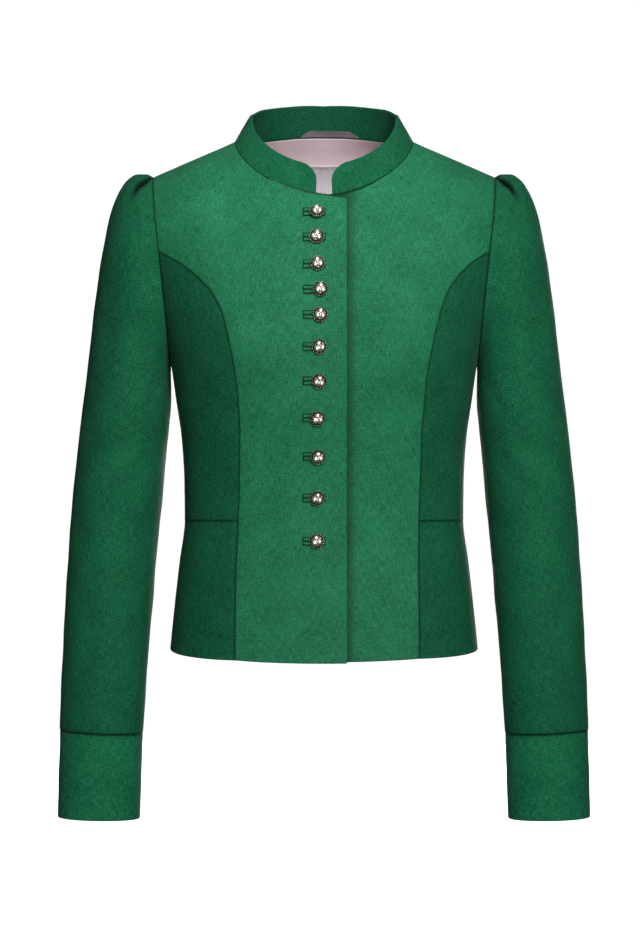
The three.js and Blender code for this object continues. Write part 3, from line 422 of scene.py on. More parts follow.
def turnHeight(x, face):
    # the cloth turns down from the shoulder line over a quarter circle of this height: one height behind,
    # and in front from the neck's to the tip's over 38 mm
    if face > 0:
        return np.full(np.shape(x), float(bodyForm["backRound"]))
    return mix(bodyForm["frontRoundNeck"], bodyForm["frontRoundTip"], smooth((np.abs(x) - 92) / 38))


def bustOut(x, drop, halfWidth):
    # two bells multiplied, one across and one down, fading out to the side seam
    across = (np.abs(x) - bustForm["x"]) / bustForm["spreadX"]
    down = (drop - bustForm["drop"]) / bustForm["spreadDrop"]
    share = np.minimum(np.abs(x) / halfWidth, 1)
    return bustForm["out"] * np.exp(-across**2 - down**2) * (1 - share**6)


def ringSide(drop, face):
    # the ring's half width, and its depth and power in front or behind
    ring = torsoRing(drop)
    if face < 0:
        return ring.halfWidth, ring.front, ring.frontPower
    return ring.halfWidth, ring.back, ring.backPower


def torsoY(x, drop, face):
    # depth of the ring at x, times how far the shoulder's quarter circle has turned at that drop
    halfWidth, depth, power = ringSide(drop, face)
    cup = bustOut(x, drop, halfWidth) if face < 0 else 0
    below = np.clip((drop + ridge(x)) / turnHeight(x, face), 0, 1)
    return face * np.sqrt(1 - (1 - below) ** 2) * (depth * superellipse(x / halfWidth, power) + cup)


def lengthOf(x, drop, face):
    # the length down the cloth to a drop: height x arc cosine round the quarter circle, straight below it
    high = turnHeight(x, face)
    below = drop + ridge(x)
    turned = high * np.arccos(np.clip(1 - below / high, -1, 1))
    return np.where(below < high, turned, below + high * (pi / 2 - 1))


def dropOf(x, length, face):
    # the drop at a length down the cloth, the other way round
    high = turnHeight(x, face)
    turned = high * (1 - np.cos(np.clip(length / high, 0, pi / 2)))
    return np.where(length < high * pi / 2, turned, length - high * (pi / 2 - 1)) - ridge(x)


def angleOf(x, drop, face):
    # the angle round the ring from the centre front, from how far across and how deep it is there
    halfWidth, depth, power = ringSide(drop, face)
    return np.arctan2(np.abs(x), -face * depth * superellipse(x / halfWidth, power))


def flatPoint(x, length, face):
    # a point of the front or back, from (x, length down the cloth)
    drop = dropOf(x, length, face)
    return np.stack([x, torsoY(x, drop, face), -drop], -1)


def sidePoint(angle, drop, side):
    # a point at the side, from (angle round the ring from the centre front, drop): the radius is the sum
    # of sine over half width and cosine over depth, each to the power, to minus one over the power
    ring = torsoRing(drop)
    inFront = angle < pi / 2
    depth = np.where(inFront, ring.front, ring.back)
    power = np.where(inFront, ring.frontPower, ring.backPower)
    s, c = np.sin(angle), np.cos(angle)
    radius = ((np.abs(s) / ring.halfWidth) ** power + (np.abs(c) / depth) ** power) ** (-1 / power)
    cup = np.where(inFront, bustOut(radius * s, drop, ring.halfWidth), 0)
    return np.stack([side * radius * s, -radius * c - cup, -drop], -1)


# Seams, as runs of (across, drop).
fine = np.linspace(0, 1, 160)


def hemDip(face, side):
    # how far the hem's middle hangs below its sides
    return bodyForm["hemDip"]["back" if face > 0 else "front" + sideNames[side]]


def hemDrop(x, dip):
    # the side's drop, and the dip x (1 less the square of the share across) to the power 0.8
    share = np.clip(1 - (np.abs(x) / torsoRing(bodyForm["hemSideDrop"]).halfWidth) ** 2, 0, 1)
    return bodyForm["hemSideDrop"] + dip * share**0.8


def hemRun(a, b, dip):
    # along the hem from x = a to x = b
    x = mix(a, b, fine)
    return np.stack([x, hemDrop(x, dip)], -1)


def princessX(drop, face, side):
    # the seam's table at that drop; in front it is shifted towards the wearer's left on both sides
    if face > 0:
        return backPrincess(drop).x
    return frontPrincess(drop).x + side * frontPrincess(drop).shift


def princessRuns(face, side):
    # from the hem up to the waist, and from there up to the armhole
    waist, join = bodyForm["waistDrop"], bodyForm["frontJoinDrop" if face < 0 else "backJoinDrop"]
    hem = hemDrop(princessX(bodyForm["hemSideDrop"], face, side), hemDip(face, side))
    runs = []
    for low, high in ((hem, waist), (waist, join)):
        drop = mix(low, high, fine)
        runs.append(np.stack([princessX(drop, face, side), drop], -1))
    runs[1][-1, 0] = armholeX(join).x
    return runs


def armholeRun(low, high):
    # along the armhole from one drop to another
    drop = mix(low, high, fine)
    return np.stack([armholeX(drop).x, drop], -1)


def neckRound(last):
    # across and down the neck's superellipse, from its side to the angle "last", for a depth of one
    angle, power = mix(pi / 2, last, fine), 2 / bodyForm["neckPower"]
    return bodyForm["neckHalfWidth"] * np.sin(angle) ** power, np.clip(np.cos(angle), 0, 1) ** power


def neckFrontRun():
    # side neck point to the collar's end
    x, down = neckRound(np.arcsin((closing["collarEndX"] / bodyForm["neckHalfWidth"])
                                  ** (bodyForm["neckPower"] / 2)))
    return np.stack([x, bodyForm["frontNeckDrop"] * down], -1)


def neckBackRun():
    # side neck point to the centre back: the drop is read from how deep the shoulder's turn is there
    x, behind = neckRound(0)
    ring = torsoRing(-8.0)
    turn = bodyForm["backNeckDepth"] * behind / (ring.back * superellipse(x / ring.halfWidth, ring.backPower))
    return np.stack([x, bodyForm["backRound"] * (1 - np.sqrt(1 - turn**2)) - ridge(x)], -1)


def shoulderRun():
    # along the shoulder line from its tip to the side neck point
    x = mix(bodyForm["shoulderTipX"], bodyForm["neckHalfWidth"], fine)
    return np.stack([x, -ridge(x)], -1)


def straightRun(a, b):
    # the straight line from a to b
    return mix(np.array(a, float), np.array(b, float), fine[:, None])


def asLengths(run, face, side=1):
    # a run of (x, drop) as (x, length down the cloth), mirrored where side is -1
    x, drop = run[:, 0] * side, run[:, 1]
    return np.stack([x, lengthOf(x, drop, face)], -1)


def asAngles(run, face):
    # a run of (x, drop) as (angle round the ring in millimetre steps, drop)
    return np.stack([sidePanel["radian"] * angleOf(run[:, 0], run[:, 1], face), run[:, 1]], -1)


# Patches between four seams.
def lengthsAlong(line):
    # how far along the line each of its points lies
    return np.concatenate([[0], np.cumsum(np.linalg.norm(np.diff(line, axis=0), axis=-1))])


def readLine(where, at, line):
    # the line's points at the lengths "where", straight between those that it has at the lengths "at"
    return np.stack([np.interp(where, at, column) for column in line.T], -1)


def boundary(t, parts, knots, ease=(1, 1)):
    # several runs joined end to end, each over its own share of t; ease draws the points of the
    # first run towards its start, and those of the last towards its end
    out = np.zeros((len(t), 2))
    for k, run in enumerate(parts):
        inside = (t >= knots[k]) & (t <= knots[k + 1])
        share = (t[inside] - knots[k]) / (knots[k + 1] - knots[k])
        if k == 0:
            share = share ** ease[0]
        if k == len(parts) - 1:
            share = 1 - (1 - share) ** ease[1]
        at = lengthsAlong(run)
        out[inside] = readLine(share * at[-1], at, run)
    return out


def places(knots, length, step, gap=0.03, near=(0.25, 0.5, 0.9, 1.5, 2.4, 3.8)):
    # shares from 0 to 1 with every knot among them: even steps, closer near the two edges, and the
    # first and last half a seam gap inside
    close = (np.array([0, *near]) + gap) / length
    stops = [close[-1], *knots[1:-1], 1 - close[-1]]
    middle = [np.linspace(a, b, max(2, int(round((b - a) * length / step)) + 1))[:-1]
              for a, b in zip(stops, stops[1:])]
    return np.concatenate([close[:-1], *middle, [stops[-1]], 1 - close[:-1][::-1]])


def fillPatch(low, high, near, far, u, v):
    # the four boundaries blended: each side's run weighted by closeness, less the corners counted twice;
    # every boundary is a list of runs joined end to end and the shares at which they join
    ends = np.array([0.0, 1.0])
    (lowNear, lowFar), (highNear, highFar) = boundary(ends, *low), boundary(ends, *high)
    low, high = boundary(u, *low)[:, None], boundary(u, *high)[:, None]
    near, far = boundary(v, *near)[None], boundary(v, *far)[None]
    u, v = u[:, None, None], v[None, :, None]
    return ((1 - v) * low + v * high + (1 - u) * near + u * far
            - (1 - u) * ((1 - v) * lowNear + v * highNear) - u * ((1 - v) * lowFar + v * highFar))


def fillStrips(strips, knotsU, u, v):
    # patches side by side between knotsU, sharing the run between them: (bottom, top, left, right) each
    out, start = [], -1.0
    for (low, high, near, far), a, b in zip(strips, knotsU, knotsU[1:]):
        here = u[(u > start) & (u <= b)] if b < 1 else u[u > start]
        out.append(fillPatch(low, high, near, far, (here - a) / (b - a), v))
        start = b
    return np.concatenate(out)


def clothUv(x, drop, face):
    # lengths along the cloth in metres: across from the centre line at one drop, and down from the
    # shoulder line at one x
    share = np.linspace(0, 1, 25)
    across = x[..., None] * share
    depth = torsoY(across, drop[..., None] + 0 * across, face)
    alongX = np.sum(np.hypot(np.diff(across, axis=-1), np.diff(depth, axis=-1)), -1)
    length = lengthOf(x, drop, face)[..., None] * share
    wide = x[..., None] + 0 * length
    down = dropOf(wide, length, face)
    fall = torsoY(wide, down, face)
    alongZ = np.sum(np.hypot(np.diff(fall, axis=-1), np.diff(down, axis=-1)), -1)
    return np.stack([np.sign(x) * alongX, -alongZ], -1) * mm


def gridUv(points, fromLast=False, closed=False):
    # lengths along the rows, from the first or last column, and down from the last row, in metres
    wide = np.concatenate([points, points[:1]]) if closed else points
    steps = np.linalg.norm(np.diff(wide, axis=0), axis=-1)
    across = np.concatenate([np.zeros((1, wide.shape[1])), np.cumsum(steps, 0)])
    if closed:
        across = across - across[-1:] / 2
    if fromLast:
        across = across - across[-1:]
    return np.stack([across, wide[..., 2]], -1) * mm


# Soft folds of the body. Each crease has the x and drop of its start and end, its width and depth in mm,
# and how far its line bows aside.
bodyCreases = {
    "front": [
        (1.5, 66, 3, 168, 3, -1.6, 0),
        (-150, 236, -118, 262, 7, 0.9, 4), (-143, 262, -108, 282, 8, 0.7, 4),
        (150, 238, 118, 266, 7, 0.9, -4), (142, 266, 110, 284, 8, 0.7, -4),
        (-120, 352, -60, 366, 8, 0.7, -5), (118, 348, 62, 362, 8, 0.7, 5),
        (-126, 392, -92, 404, 8, 0.6, 4), (124, 394, 94, 408, 8, 0.6, -4),
        (-112, 150, -146, 196, 9, 0.8, -6), (116, 150, 148, 198, 9, 0.8, 6),
        (-70, 236, -40, 320, 14, 0.7, 8), (76, 240, 48, 330, 14, 0.7, -8),
        (-40, 130, -74, 190, 16, 0.6, 6), (44, 128, 80, 188, 16, 0.6, -6),
        (-60, 430, -52, 500, 15, 0.8, 4), (64, 428, 58, 500, 15, 0.8, -4),
        (-128, 440, -126, 500, 13, 0.9, 3), (130, 440, 128, 500, 13, 0.9, -3),
    ],
    "back": [
        (-118, 346, -40, 362, 9, 0.9, -5), (112, 352, 38, 366, 9, 0.9, 5),
        (-60, 338, 30, 346, 11, 0.7, 4), (-20, 392, 66, 384, 10, 0.6, -4),
        (-146, 232, -96, 268, 9, 0.9, 5), (146, 234, 98, 266, 9, 0.9, -5),
        (-120, 110, -70, 170, 15, 0.8, -7), (118, 112, 72, 168, 15, 0.8, 7),
        (-40, 420, -46, 500, 15, 0.9, 5), (42, 424, 50, 498, 15, 0.9, -5),
        (-124, 430, -122, 500, 13, 0.9, -3), (124, 432, 120, 500, 13, 0.9, 3),
    ],
}


def bodyFolds(x, drop, face):
    # the creases and a faint unevenness; they die out towards the side seam, the neck and the centre front
    name, seed = ("front", 3) if face < 0 else ("back", 4)
    folds = creaseField(x, drop, bodyCreases[name], seed) + 0.35 * unevenness(x, drop, 60, seed + 8)
    calm = smooth((torsoRing(drop).halfWidth - np.abs(x)) / 14)
    if face < 0:
        calm = calm * mix(0.25, 1, smooth((np.abs(x) - 26) / 16))
    return folds * calm * smooth((drop - 70) / 40)


def lapLift(side, x):
    # the upper front is moved out and the lower one in where they lap, and its edge stands off a little
    proud = closing["edgeStandsOff"] * smooth((x - 2) / 22) if side < 0 else 0
    return -side * closing["offset"] * smooth((58 - side * x) / 26) + proud


# Panels of the body.
def finishSheet(piece, node):
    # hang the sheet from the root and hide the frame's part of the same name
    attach(piece, "root")
    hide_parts(node)


frontPanel = {"step": 3.2, "cut": (0.22, 0.59), "area": 0.072, "wide": 220, "tall": 470,
              "knotsU": [0, 0.34, 1], "knotsV": [0, 0.27, 0.82, 1], "neckShare": 0.85, "waistShare": 0.28}
parting = {
    "front": {"x": [62, 62, 64, 72, 86, 96, 101, 101, 96, 89],
              "drop": [512, 377, 260, 190, 130, 95, 68, 42, 18, 0]},
    "back": {"x": [50, 42, 50, 64, 86, 99, 103, 101, 95, 89],
             "drop": [508, 377, 290, 195, 130, 92, 60, 36, 15, 0]},
}


def dividingRun(face, dip):
    # a line from the hem to the side neck point, along which a panel's columns part for shoulder and neck
    table = parting["front" if face < 0 else "back"]
    t = fine * (len(table["x"]) - 1)
    read = curveThrough({"step": list(range(len(table["x"]))), **table}, "step")(t)
    run = np.stack([read.x, read.drop - ridge(read.x) * smooth(fine * 6 - 5)], -1)
    run[0] = table["x"][0], hemDrop(table["x"][0], dip)
    return run


def makeFront(side):
    # two patches beside the dividing line, then the folds and the lap; painted shadow darkens the lower
    # front beside the upper one's edge
    name, dip, waist = sideNames[side], hemDip(-1, side), bodyForm["waistDrop"]
    edge = side * closing["lapEdgeX" if side < 0 else "underlapEdgeX"]
    neck = neckFrontRun()
    topDrop = neck[-1, 1] + closing["topBelow"][name]
    armside = [*princessRuns(-1, side), armholeRun(bodyForm["frontJoinDrop"], bodyForm["shoulderTipDrop"])]
    divide = dividingRun(-1, dip)
    hemSide, hemMiddle = hemRun(armside[0][0, 0], divide[0, 0], dip), hemRun(divide[0, 0], edge, dip)
    centre = [straightRun((edge, a), (edge, b)) for a, b in ((hemMiddle[-1, 1], waist), (waist, topDrop))]
    lap = straightRun(neck[-1], (edge, topDrop))
    to = lambda *runs: [asLengths(run, -1, side) for run in runs]
    whole, knotsU, knotsV = [0, 1], frontPanel["knotsU"], frontPanel["knotsV"]
    neckShare, waistShare = frontPanel["neckShare"], frontPanel["waistShare"]
    strips = [((to(hemSide), whole), (to(shoulderRun()), whole), (to(*armside), knotsV), (to(divide), whole)),
              ((to(hemMiddle), whole), (to(neck, lap), [0, neckShare, 1], (1.6, 1)), (to(divide), whole),
               (to(*centre), [0, waistShare, 1]))]
    step = frontPanel["step"]
    u = places([0, knotsU[1], mix(knotsU[1], 1, neckShare), 1], frontPanel["wide"], step * 0.8)
    v = places(knotsV, frontPanel["tall"], step)
    x, length = np.moveaxis(fillStrips(strips, knotsU, u, v), -1, 0)
    drop = dropOf(x, length, -1)
    facing = np.where((np.abs(x) < closing["facingX"]) | (drop > bodyForm["hemFacingDrop"]), 0, 1)
    # painted shadow on the lower front beside the upper front's edge
    beside = np.clip(x - closing["lapEdgeX"], 0, None)
    shade = closing["lapShade"] * bell(beside, closing["lapShadeWidth"]) if side > 0 else 0
    piece = clothShell("front" + name, flatPoint(x, length, -1), bodyForm["cloth"],
                       {"left": "over", "right": "fold", "bottom": "fold", "top": "under"},
                       clothUv(x, drop, -1), [linenCloth, satinLining], inner=facing, shade=shade,
                       lift=bodyFolds(x, drop, -1) + lapLift(side, x), seed=21 + side)
    finishSheet(piece, "front_" + name.lower())


sidePanel = {
    "step": 3.2, "radian": 150, "knotsBack": [0, 0.36, 1],
    "size": {"upper": (80, 220), "lower": (70, 130), "back": (110, 350)},
    "cut": {"RightUpper": (0.16, 0.265), "RightLower": (0.125, 0.135), "LeftUpper": (0.147, 0.265),
            "LeftLower": (0.118, 0.135), "back": (0.14, 0.39)},
    "area": {"RightUpper": 0.0266, "RightLower": 0.0152, "LeftUpper": 0.0231, "LeftLower": 0.0141,
             "back": 0.041},
}


def addSidePanel(names, side, face, grid, edges, uvFromLast, seed):
    # a panel at the side from its grid of (angle in millimetre steps, drop)
    angle, drop = grid[..., 0] / sidePanel["radian"], grid[..., 1]
    points = sidePoint(angle, drop, side)
    piece = clothShell(names[0], points, bodyForm["cloth"], edges, gridUv(points, uvFromLast),
                       [linenSide, satinLining], lift=bodyFolds(points[..., 0], drop, face),
                       inner=np.where(drop > bodyForm["hemFacingDrop"], 0, 1), seed=seed)
    finishSheet(piece, names[1])


def makeSideFront(side, part):
    # between the princess seam and the side seam, from the hem, a quarter cosine, up to the waist, or
    # from the waist up to the armhole
    lower, name = part == "lower", sideNames[side]
    waist, hem, under = bodyForm["waistDrop"], bodyForm["hemSideDrop"], bodyForm["underarmDrop"]
    quarter = sidePanel["radian"] * pi / 2
    inner = asAngles(princessRuns(-1, side)[0 if lower else 1], -1)
    outer = straightRun((quarter, hem if lower else waist), (quarter, waist if lower else under))
    if lower:
        bottom = mix(inner[0], outer[0], np.stack([fine, 1 - np.cos(fine * pi / 2)], -1))
        top = straightRun(inner[-1], outer[-1])
    else:
        bottom = straightRun(inner[0], outer[0])
        top = asAngles(armholeRun(bodyForm["frontJoinDrop"], under), -1)
    edges = {"left": "under", "right": "seam", "bottom": "fold" if lower else "over", "top": "under"}
    wide, tall = sidePanel["size"][part]
    u, v = places([0, 1], wide, sidePanel["step"] * 0.7), places([0, 1], tall, sidePanel["step"])
    grid = fillPatch(*(([run], [0, 1]) for run in (bottom, top, inner, outer)), u, v)
    key = name + part.capitalize()
    names = "sideFront" + key, f"side_front_{name.lower()}_{part}"
    addSidePanel(names, side, -1, grid, edges, True, 31 + side + lower)


def makeSideBack(side):
    # between the side seam and the back's princess seam, from the hem, a quarter sine, up to the armhole
    waist, hem, under = bodyForm["waistDrop"], bodyForm["hemSideDrop"], bodyForm["underarmDrop"]
    quarter, knots = sidePanel["radian"] * pi / 2, sidePanel["knotsBack"]
    inner = [asAngles(run, 1) for run in princessRuns(1, 1)]
    outer = [straightRun((quarter, hem), (quarter, waist)), straightRun((quarter, waist), (quarter, under))]
    armhole = asAngles(armholeRun(under, bodyForm["backJoinDrop"]), 1)
    bottom = mix(outer[0][0], inner[0][0], np.stack([fine, np.sin(fine * pi / 2)], -1))
    wide, tall = sidePanel["size"]["back"]
    u, v = places([0, 1], wide, sidePanel["step"] * 0.8), places(knots, tall, sidePanel["step"])
    grid = fillPatch(([bottom], [0, 1]), ([armhole], [0, 1]), (outer, knots), (inner, knots), u, v)
    names = "sideBack" + sideNames[side], "side_back_" + sideNames[side].lower()
    edges = {"left": "seam", "right": "under", "bottom": "fold", "top": "under"}
    addSidePanel(names, side, 1, grid, edges, False, 41 + side)


backPanel = {"step": 3.2, "cut": (0.435, 0.615), "area": 0.125, "wide": 300, "tall": 500,
             "knotsU": [0, 0.25, 0.75, 1], "knotsV": [0, 0.27, 0.8, 1]}


def backGrid(u, v):
    # the back's (x, length down the cloth) at shares u across and v up: three patches side by side
    dip = hemDip(1, 1)
    side = [*princessRuns(1, 1), armholeRun(bodyForm["backJoinDrop"], bodyForm["shoulderTipDrop"])]
    shoulder, neck, divide = shoulderRun(), neckBackRun(), dividingRun(1, dip)
    hemSide, hemMiddle = hemRun(side[0][0, 0], divide[0, 0], dip), hemRun(divide[0, 0], 0, dip)
    right = lambda *runs: [asLengths(run, 1, -1) for run in runs]
    left = lambda *runs: [asLengths(run, 1) for run in runs]
    outward = lambda *runs: [run[::-1] for run in left(*runs)]
    whole, halves, knots = [0, 1], [0, 0.5, 1], backPanel["knotsV"]
    rightDivide, leftDivide = (right(divide), whole), (left(divide), whole)
    strips = [((right(hemSide), whole), (right(shoulder), whole), (right(*side), knots), rightDivide),
              ((right(hemMiddle) + outward(hemMiddle), halves),
               (right(neck) + outward(neck), halves, (1.6, 1.6)), rightDivide, leftDivide),
              ((outward(hemSide), whole), (outward(shoulder), whole), leftDivide, (left(*side), knots))]
    return fillStrips(strips, backPanel["knotsU"], u, v)


def makeBack():
    # the grid of the back with its folds
    u = places([0, 0.25, 0.5, 0.75, 1], backPanel["wide"], backPanel["step"] * 0.85)
    v = places(backPanel["knotsV"], backPanel["tall"], backPanel["step"])
    x, length = np.moveaxis(backGrid(u, v), -1, 0)
    drop = dropOf(x, length, 1)
    piece = clothShell("backPanel", flatPoint(x, length, 1), bodyForm["cloth"],
                       {"left": "over", "right": "over", "bottom": "fold", "top": "under"},
                       clothUv(x, drop, 1), [linenCloth, satinLining], lift=bodyFolds(x, drop, 1),
                       inner=np.where(drop > bodyForm["hemFacingDrop"], 0, 1), seed=51)
    finishSheet(piece, "back")


# Collar.
collarForm = {"cloth": 3.0, "tall": 33, "endShare": 0.5, "endRound": 17, "foot": -0.25, "cut": (0.53, 0.035),
              "area": 0.0162}
collarRise = curveThrough({
    "round": [0, 0.5, 1, 1.3, 1.6, 2],
    "inward": [9, 12.5, 16, 14, 11, 9],
    "up": [31, 29.5, 27.5, 31.6, 31.2, 30.3],
}, "round")


def collarFrame(count=190):
    # points along the neckline from one front end over the back to the other, evenly spaced, with the
    # direction in which the collar stands up from each and the direction its outer side faces
    halves = [np.stack([run[:, 0], torsoY(run[:, 0], run[:, 1], face), -run[:, 1]], -1)
              for run, face in ((neckFrontRun(), -1), (neckBackRun(), 1))]
    half = np.concatenate([halves[0][::-1], halves[1][1:]])
    base = np.concatenate([half * [-1, 1, 1], half[:-1][::-1]])
    at = lengthsAlong(base)
    where = places([0, 0.5, 1], at[-1], at[-1] / count, gap=0) * at[-1]
    spots = readLine(where, at, base)
    tangent = unit(readLine(where + 4, at, base) - readLine(where - 4, at, base))
    inward = unit(np.stack([-tangent[:, 1], tangent[:, 0], 0 * where], -1))
    inward = inward * -np.sign(np.sum(inward * spots, -1, keepdims=True))
    rise = collarRise(np.abs(np.arctan2(spots[:, 0], -spots[:, 1])) / (pi / 2))
    up = inward * rise.inward[:, None] + np.stack([0 * where, 0 * where, rise.up], -1)
    face = unit(np.cross(tangent, up))
    face = face * np.sign(np.sum(face[:, :2] * spots[:, :2], -1))[:, None]
    return where, spots, up, face


def makeCollar():
    # from just under the neckline up to the rise, which falls to half at the front ends over a quarter
    # circle
    where, spots, up, face = collarFrame()
    tall, endGap = collarForm["tall"], np.minimum(where, where[-1] - where)
    corner = superellipse(1 - np.minimum(1, endGap / collarForm["endRound"]), 2)
    share = mix(collarForm["endShare"], 1, corner)[:, None]
    foot = collarForm["foot"] / np.linalg.norm(up, axis=-1)[:, None]
    rise = mix(foot, share, places([0, 1], tall, 2.2, gap=0.0)[None])
    points = spots[:, None] + up[:, None] * rise[..., None]
    lift = 0.25 * unevenness(where[:, None] + 0 * rise, rise * tall, 38, 61) * smooth(rise * 2)
    uv = np.stack(np.broadcast_arrays(where[:, None] - where[-1] / 2, rise * tall), -1) * mm
    edges = {"left": "collarFold", "right": "collarFold", "bottom": "collarFoot", "top": "collarFold"}
    # painted shade on the collar's inner side, through shadeInside
    piece = clothShell("standCollar", points, collarForm["cloth"], edges, uv, [linenCollar, linenCollar],
                       lift=lift, inner=0, outward=face[:, None], pucker=0.08, seed=62, shadeInside=0.35)
    finishSheet(piece, "collar")


# Sleeves and cuffs.
sleeveForm = {
    "cloth": 1.6, "puff": 0.55, "cut": (0.51, 0.57), "area": 0.146, "cuffCut": (0.245, 0.088),
    "pleat": {"startAngle": 13, "endAngle": 35, "endRow": 2.7, "edge": 6, "hollow": 20, "raise": 0.8,
              "sink": 5.2, "fadeFrom": 2.0, "fadeOver": 2.2, "grows": 1.0, "dark": 1.5,
              "darkWidths": (3.2, 4.5)},
    "perDegree": 1.1, "underSeam": 0.7, "roundArm": 60,
    "creases": [
        # from (degrees round from the top over the front, drop) to the same, width, depth, bow
        (62, 95, 70, 260, 16, 0.8, 12), (104, 130, 96, 300, 13, 0.9, -10), (40, 240, 52, 420, 15, 0.6, 10),
        (128, 262, 92, 318, 8, 0.9, 6), (134, 300, 96, 352, 9, 0.8, -6), (84, 380, 74, 540, 13, 0.6, 8),
        (60, 440, 66, 570, 12, 0.5, -6), (150, 236, 118, 276, 8, 0.9, 5),
        (-62, 100, -70, 270, 16, 0.8, -12), (-100, 150, -96, 320, 13, 0.9, 10),
        (-128, 270, -88, 330, 9, 0.9, 6), (-134, 312, -92, 366, 9, 0.9, -6), (-80, 390, -70, 560, 14, 0.7, 8),
        (-150, 240, -112, 280, 8, 0.9, 5),
    ],
}
sleeveRing = curveThrough({
    "row": list(range(16)),
    "outX": [170.8, 177, 186, 195.5, 203.8, 210.5, 216, 221, 226.5, 232.5, 239, 246.5, 253, 257.3, 260.6,
             263],
    "outDrop": [35, 32.4, 32.2, 37.2, 48, 63, 82, 108, 145, 191, 248, 311, 378, 444, 514, 585.8],
    "inX": [152.95, 153.3, 153.4, 153.4, 153.4, 153.3, 153.2, 153.1, 153, 153.2, 154.6, 158.8, 164.3, 169.8,
            175.4, 180],
    "inDrop": [222, 224, 226, 228, 230.5, 233, 236.5, 242, 250, 262, 280, 322, 384, 448, 517, 589.4],
    "front": [60, 60, 60.5, 61, 61.5, 61.5, 61.5, 61, 60, 58.5, 56.5, 54, 50.5, 46, 41, 37],
    "back": [64, 64, 64, 63.5, 63, 62.5, 62, 61, 60, 58.5, 56.5, 54, 50.5, 46, 41, 37],
    "mid": [0, 0, 0, 0, 0, 0, 1, 2, 3, 4, 4, 3, 0, -5, -10, -14],
    "armhole": [1, 0.7, 0.4, 0.15, 0, 0, 0, 0, 0, 0, 0, 0, 0, 0, 0, 0],
}, "row")
cuffRing = curveThrough({
    "row": [0, 1, 2],
    "outX": [262.6, 263.7, 264.4], "outDrop": [586.2, 630, 672],
    "inX": [180.4, 181.6, 182.8], "inDrop": [589.8, 632.5, 673.5],
    "front": [36.4, 35, 34], "back": [36.4, 35, 34], "mid": [-14, -16.5, -19],
}, "row")


def ringPoint(ring, angle):
    # half of one less the cosine of the way in from the outermost point, and a sine deep; the angle runs
    # from the top over the front
    t, s = (1 - np.cos(angle)) / 2, np.sin(angle)
    y = ring.mid - s * np.where(s > 0, ring.front, ring.back)
    return np.stack([mix(ring.outX, ring.inX, t), y, -mix(ring.outDrop, ring.inDrop, t)], -1)


def sleevePoint(row, angle):
    # the plain ring, plus what is left of the difference between the armhole and the first ring
    ring = sleeveRing(row)
    tip, under = bodyForm["shoulderTipDrop"], bodyForm["underarmDrop"]
    drop = mix(tip, under, (1 - np.cos(angle)) / 2)
    x = armholeX(drop).x
    y = np.where(np.sin(angle) > 0, torsoY(x, drop, -1), torsoY(x, drop, 1))
    armhole = np.stack([x + bodyForm["seamGap"], y, -drop], -1)
    first = sleeveRing(np.zeros(np.shape(angle)))
    return ringPoint(ring, angle) + (armhole - ringPoint(first, angle)) * ring.armhole[..., None]


def pleatShape(row):
    # over half the sleeve, from the top over the front to the underarm: the columns' angles, the pleat's
    # lift, how far down the inner side stays, and the painted shade along the crease. A roll, a lip that
    # turns under as a quarter circle and a hollow that comes back up drift round as the rows run down
    pleat = sleeveForm["pleat"]
    raised, sink = pleat["raise"], pleat["sink"]
    crease = np.radians(mix(pleat["startAngle"], pleat["endAngle"], np.clip(row / pleat["endRow"], 0, 1)))
    edge, hollow = crease - radians(pleat["edge"]), crease + radians(pleat["hollow"])
    roll, lip, dip = np.linspace(0, 1, 12)[:-1], np.linspace(0, 1, 9)[:-1], np.linspace(0, 1, 14)[:-1] ** 1.3
    rest = np.concatenate([np.linspace(0, 1, 46)[:-1] * 0.99, [0.9928, 0.996, 0.9985]])
    angle = np.concatenate([mix(a, b, share[:, None]) + 0 * row for share, a, b in (
        (roll, 0, edge), (lip, edge, crease), (dip, crease, hollow), (rest, hollow, pi))])
    profile = np.concatenate([
        raised * smooth(roll), -sink + (raised + sink) * np.sqrt(1 - lip**2),
        -sink * (1 - dip) ** 2.2 + 0.9 * np.sin(pi * dip) ** 2 * dip, 0 * rest])[:, None]
    shown = smooth(row / pleat["grows"]) * (1 - smooth((row - pleat["fadeFrom"]) / pleat["fadeOver"]))
    aside = np.degrees(angle - crease)
    shade = pleat["dark"] * bell(aside, np.where(aside < 0, *pleat["darkWidths"]))
    shade = shade * smooth(row / 0.3) * (1 - smooth((row - pleat["fadeFrom"] + 0.2) / pleat["fadeOver"]))
    entered, left = angle - crease + radians(14), hollow + radians(6) - angle
    deepest = 4 - (sink + 4) * smooth(entered / radians(8)) * smooth(left / radians(14)) * shown
    return [np.concatenate([sign * field[1:][::-1], field])
            for sign, field in ((-1, angle), (1, profile * shown), (1, deepest), (1, shade))]


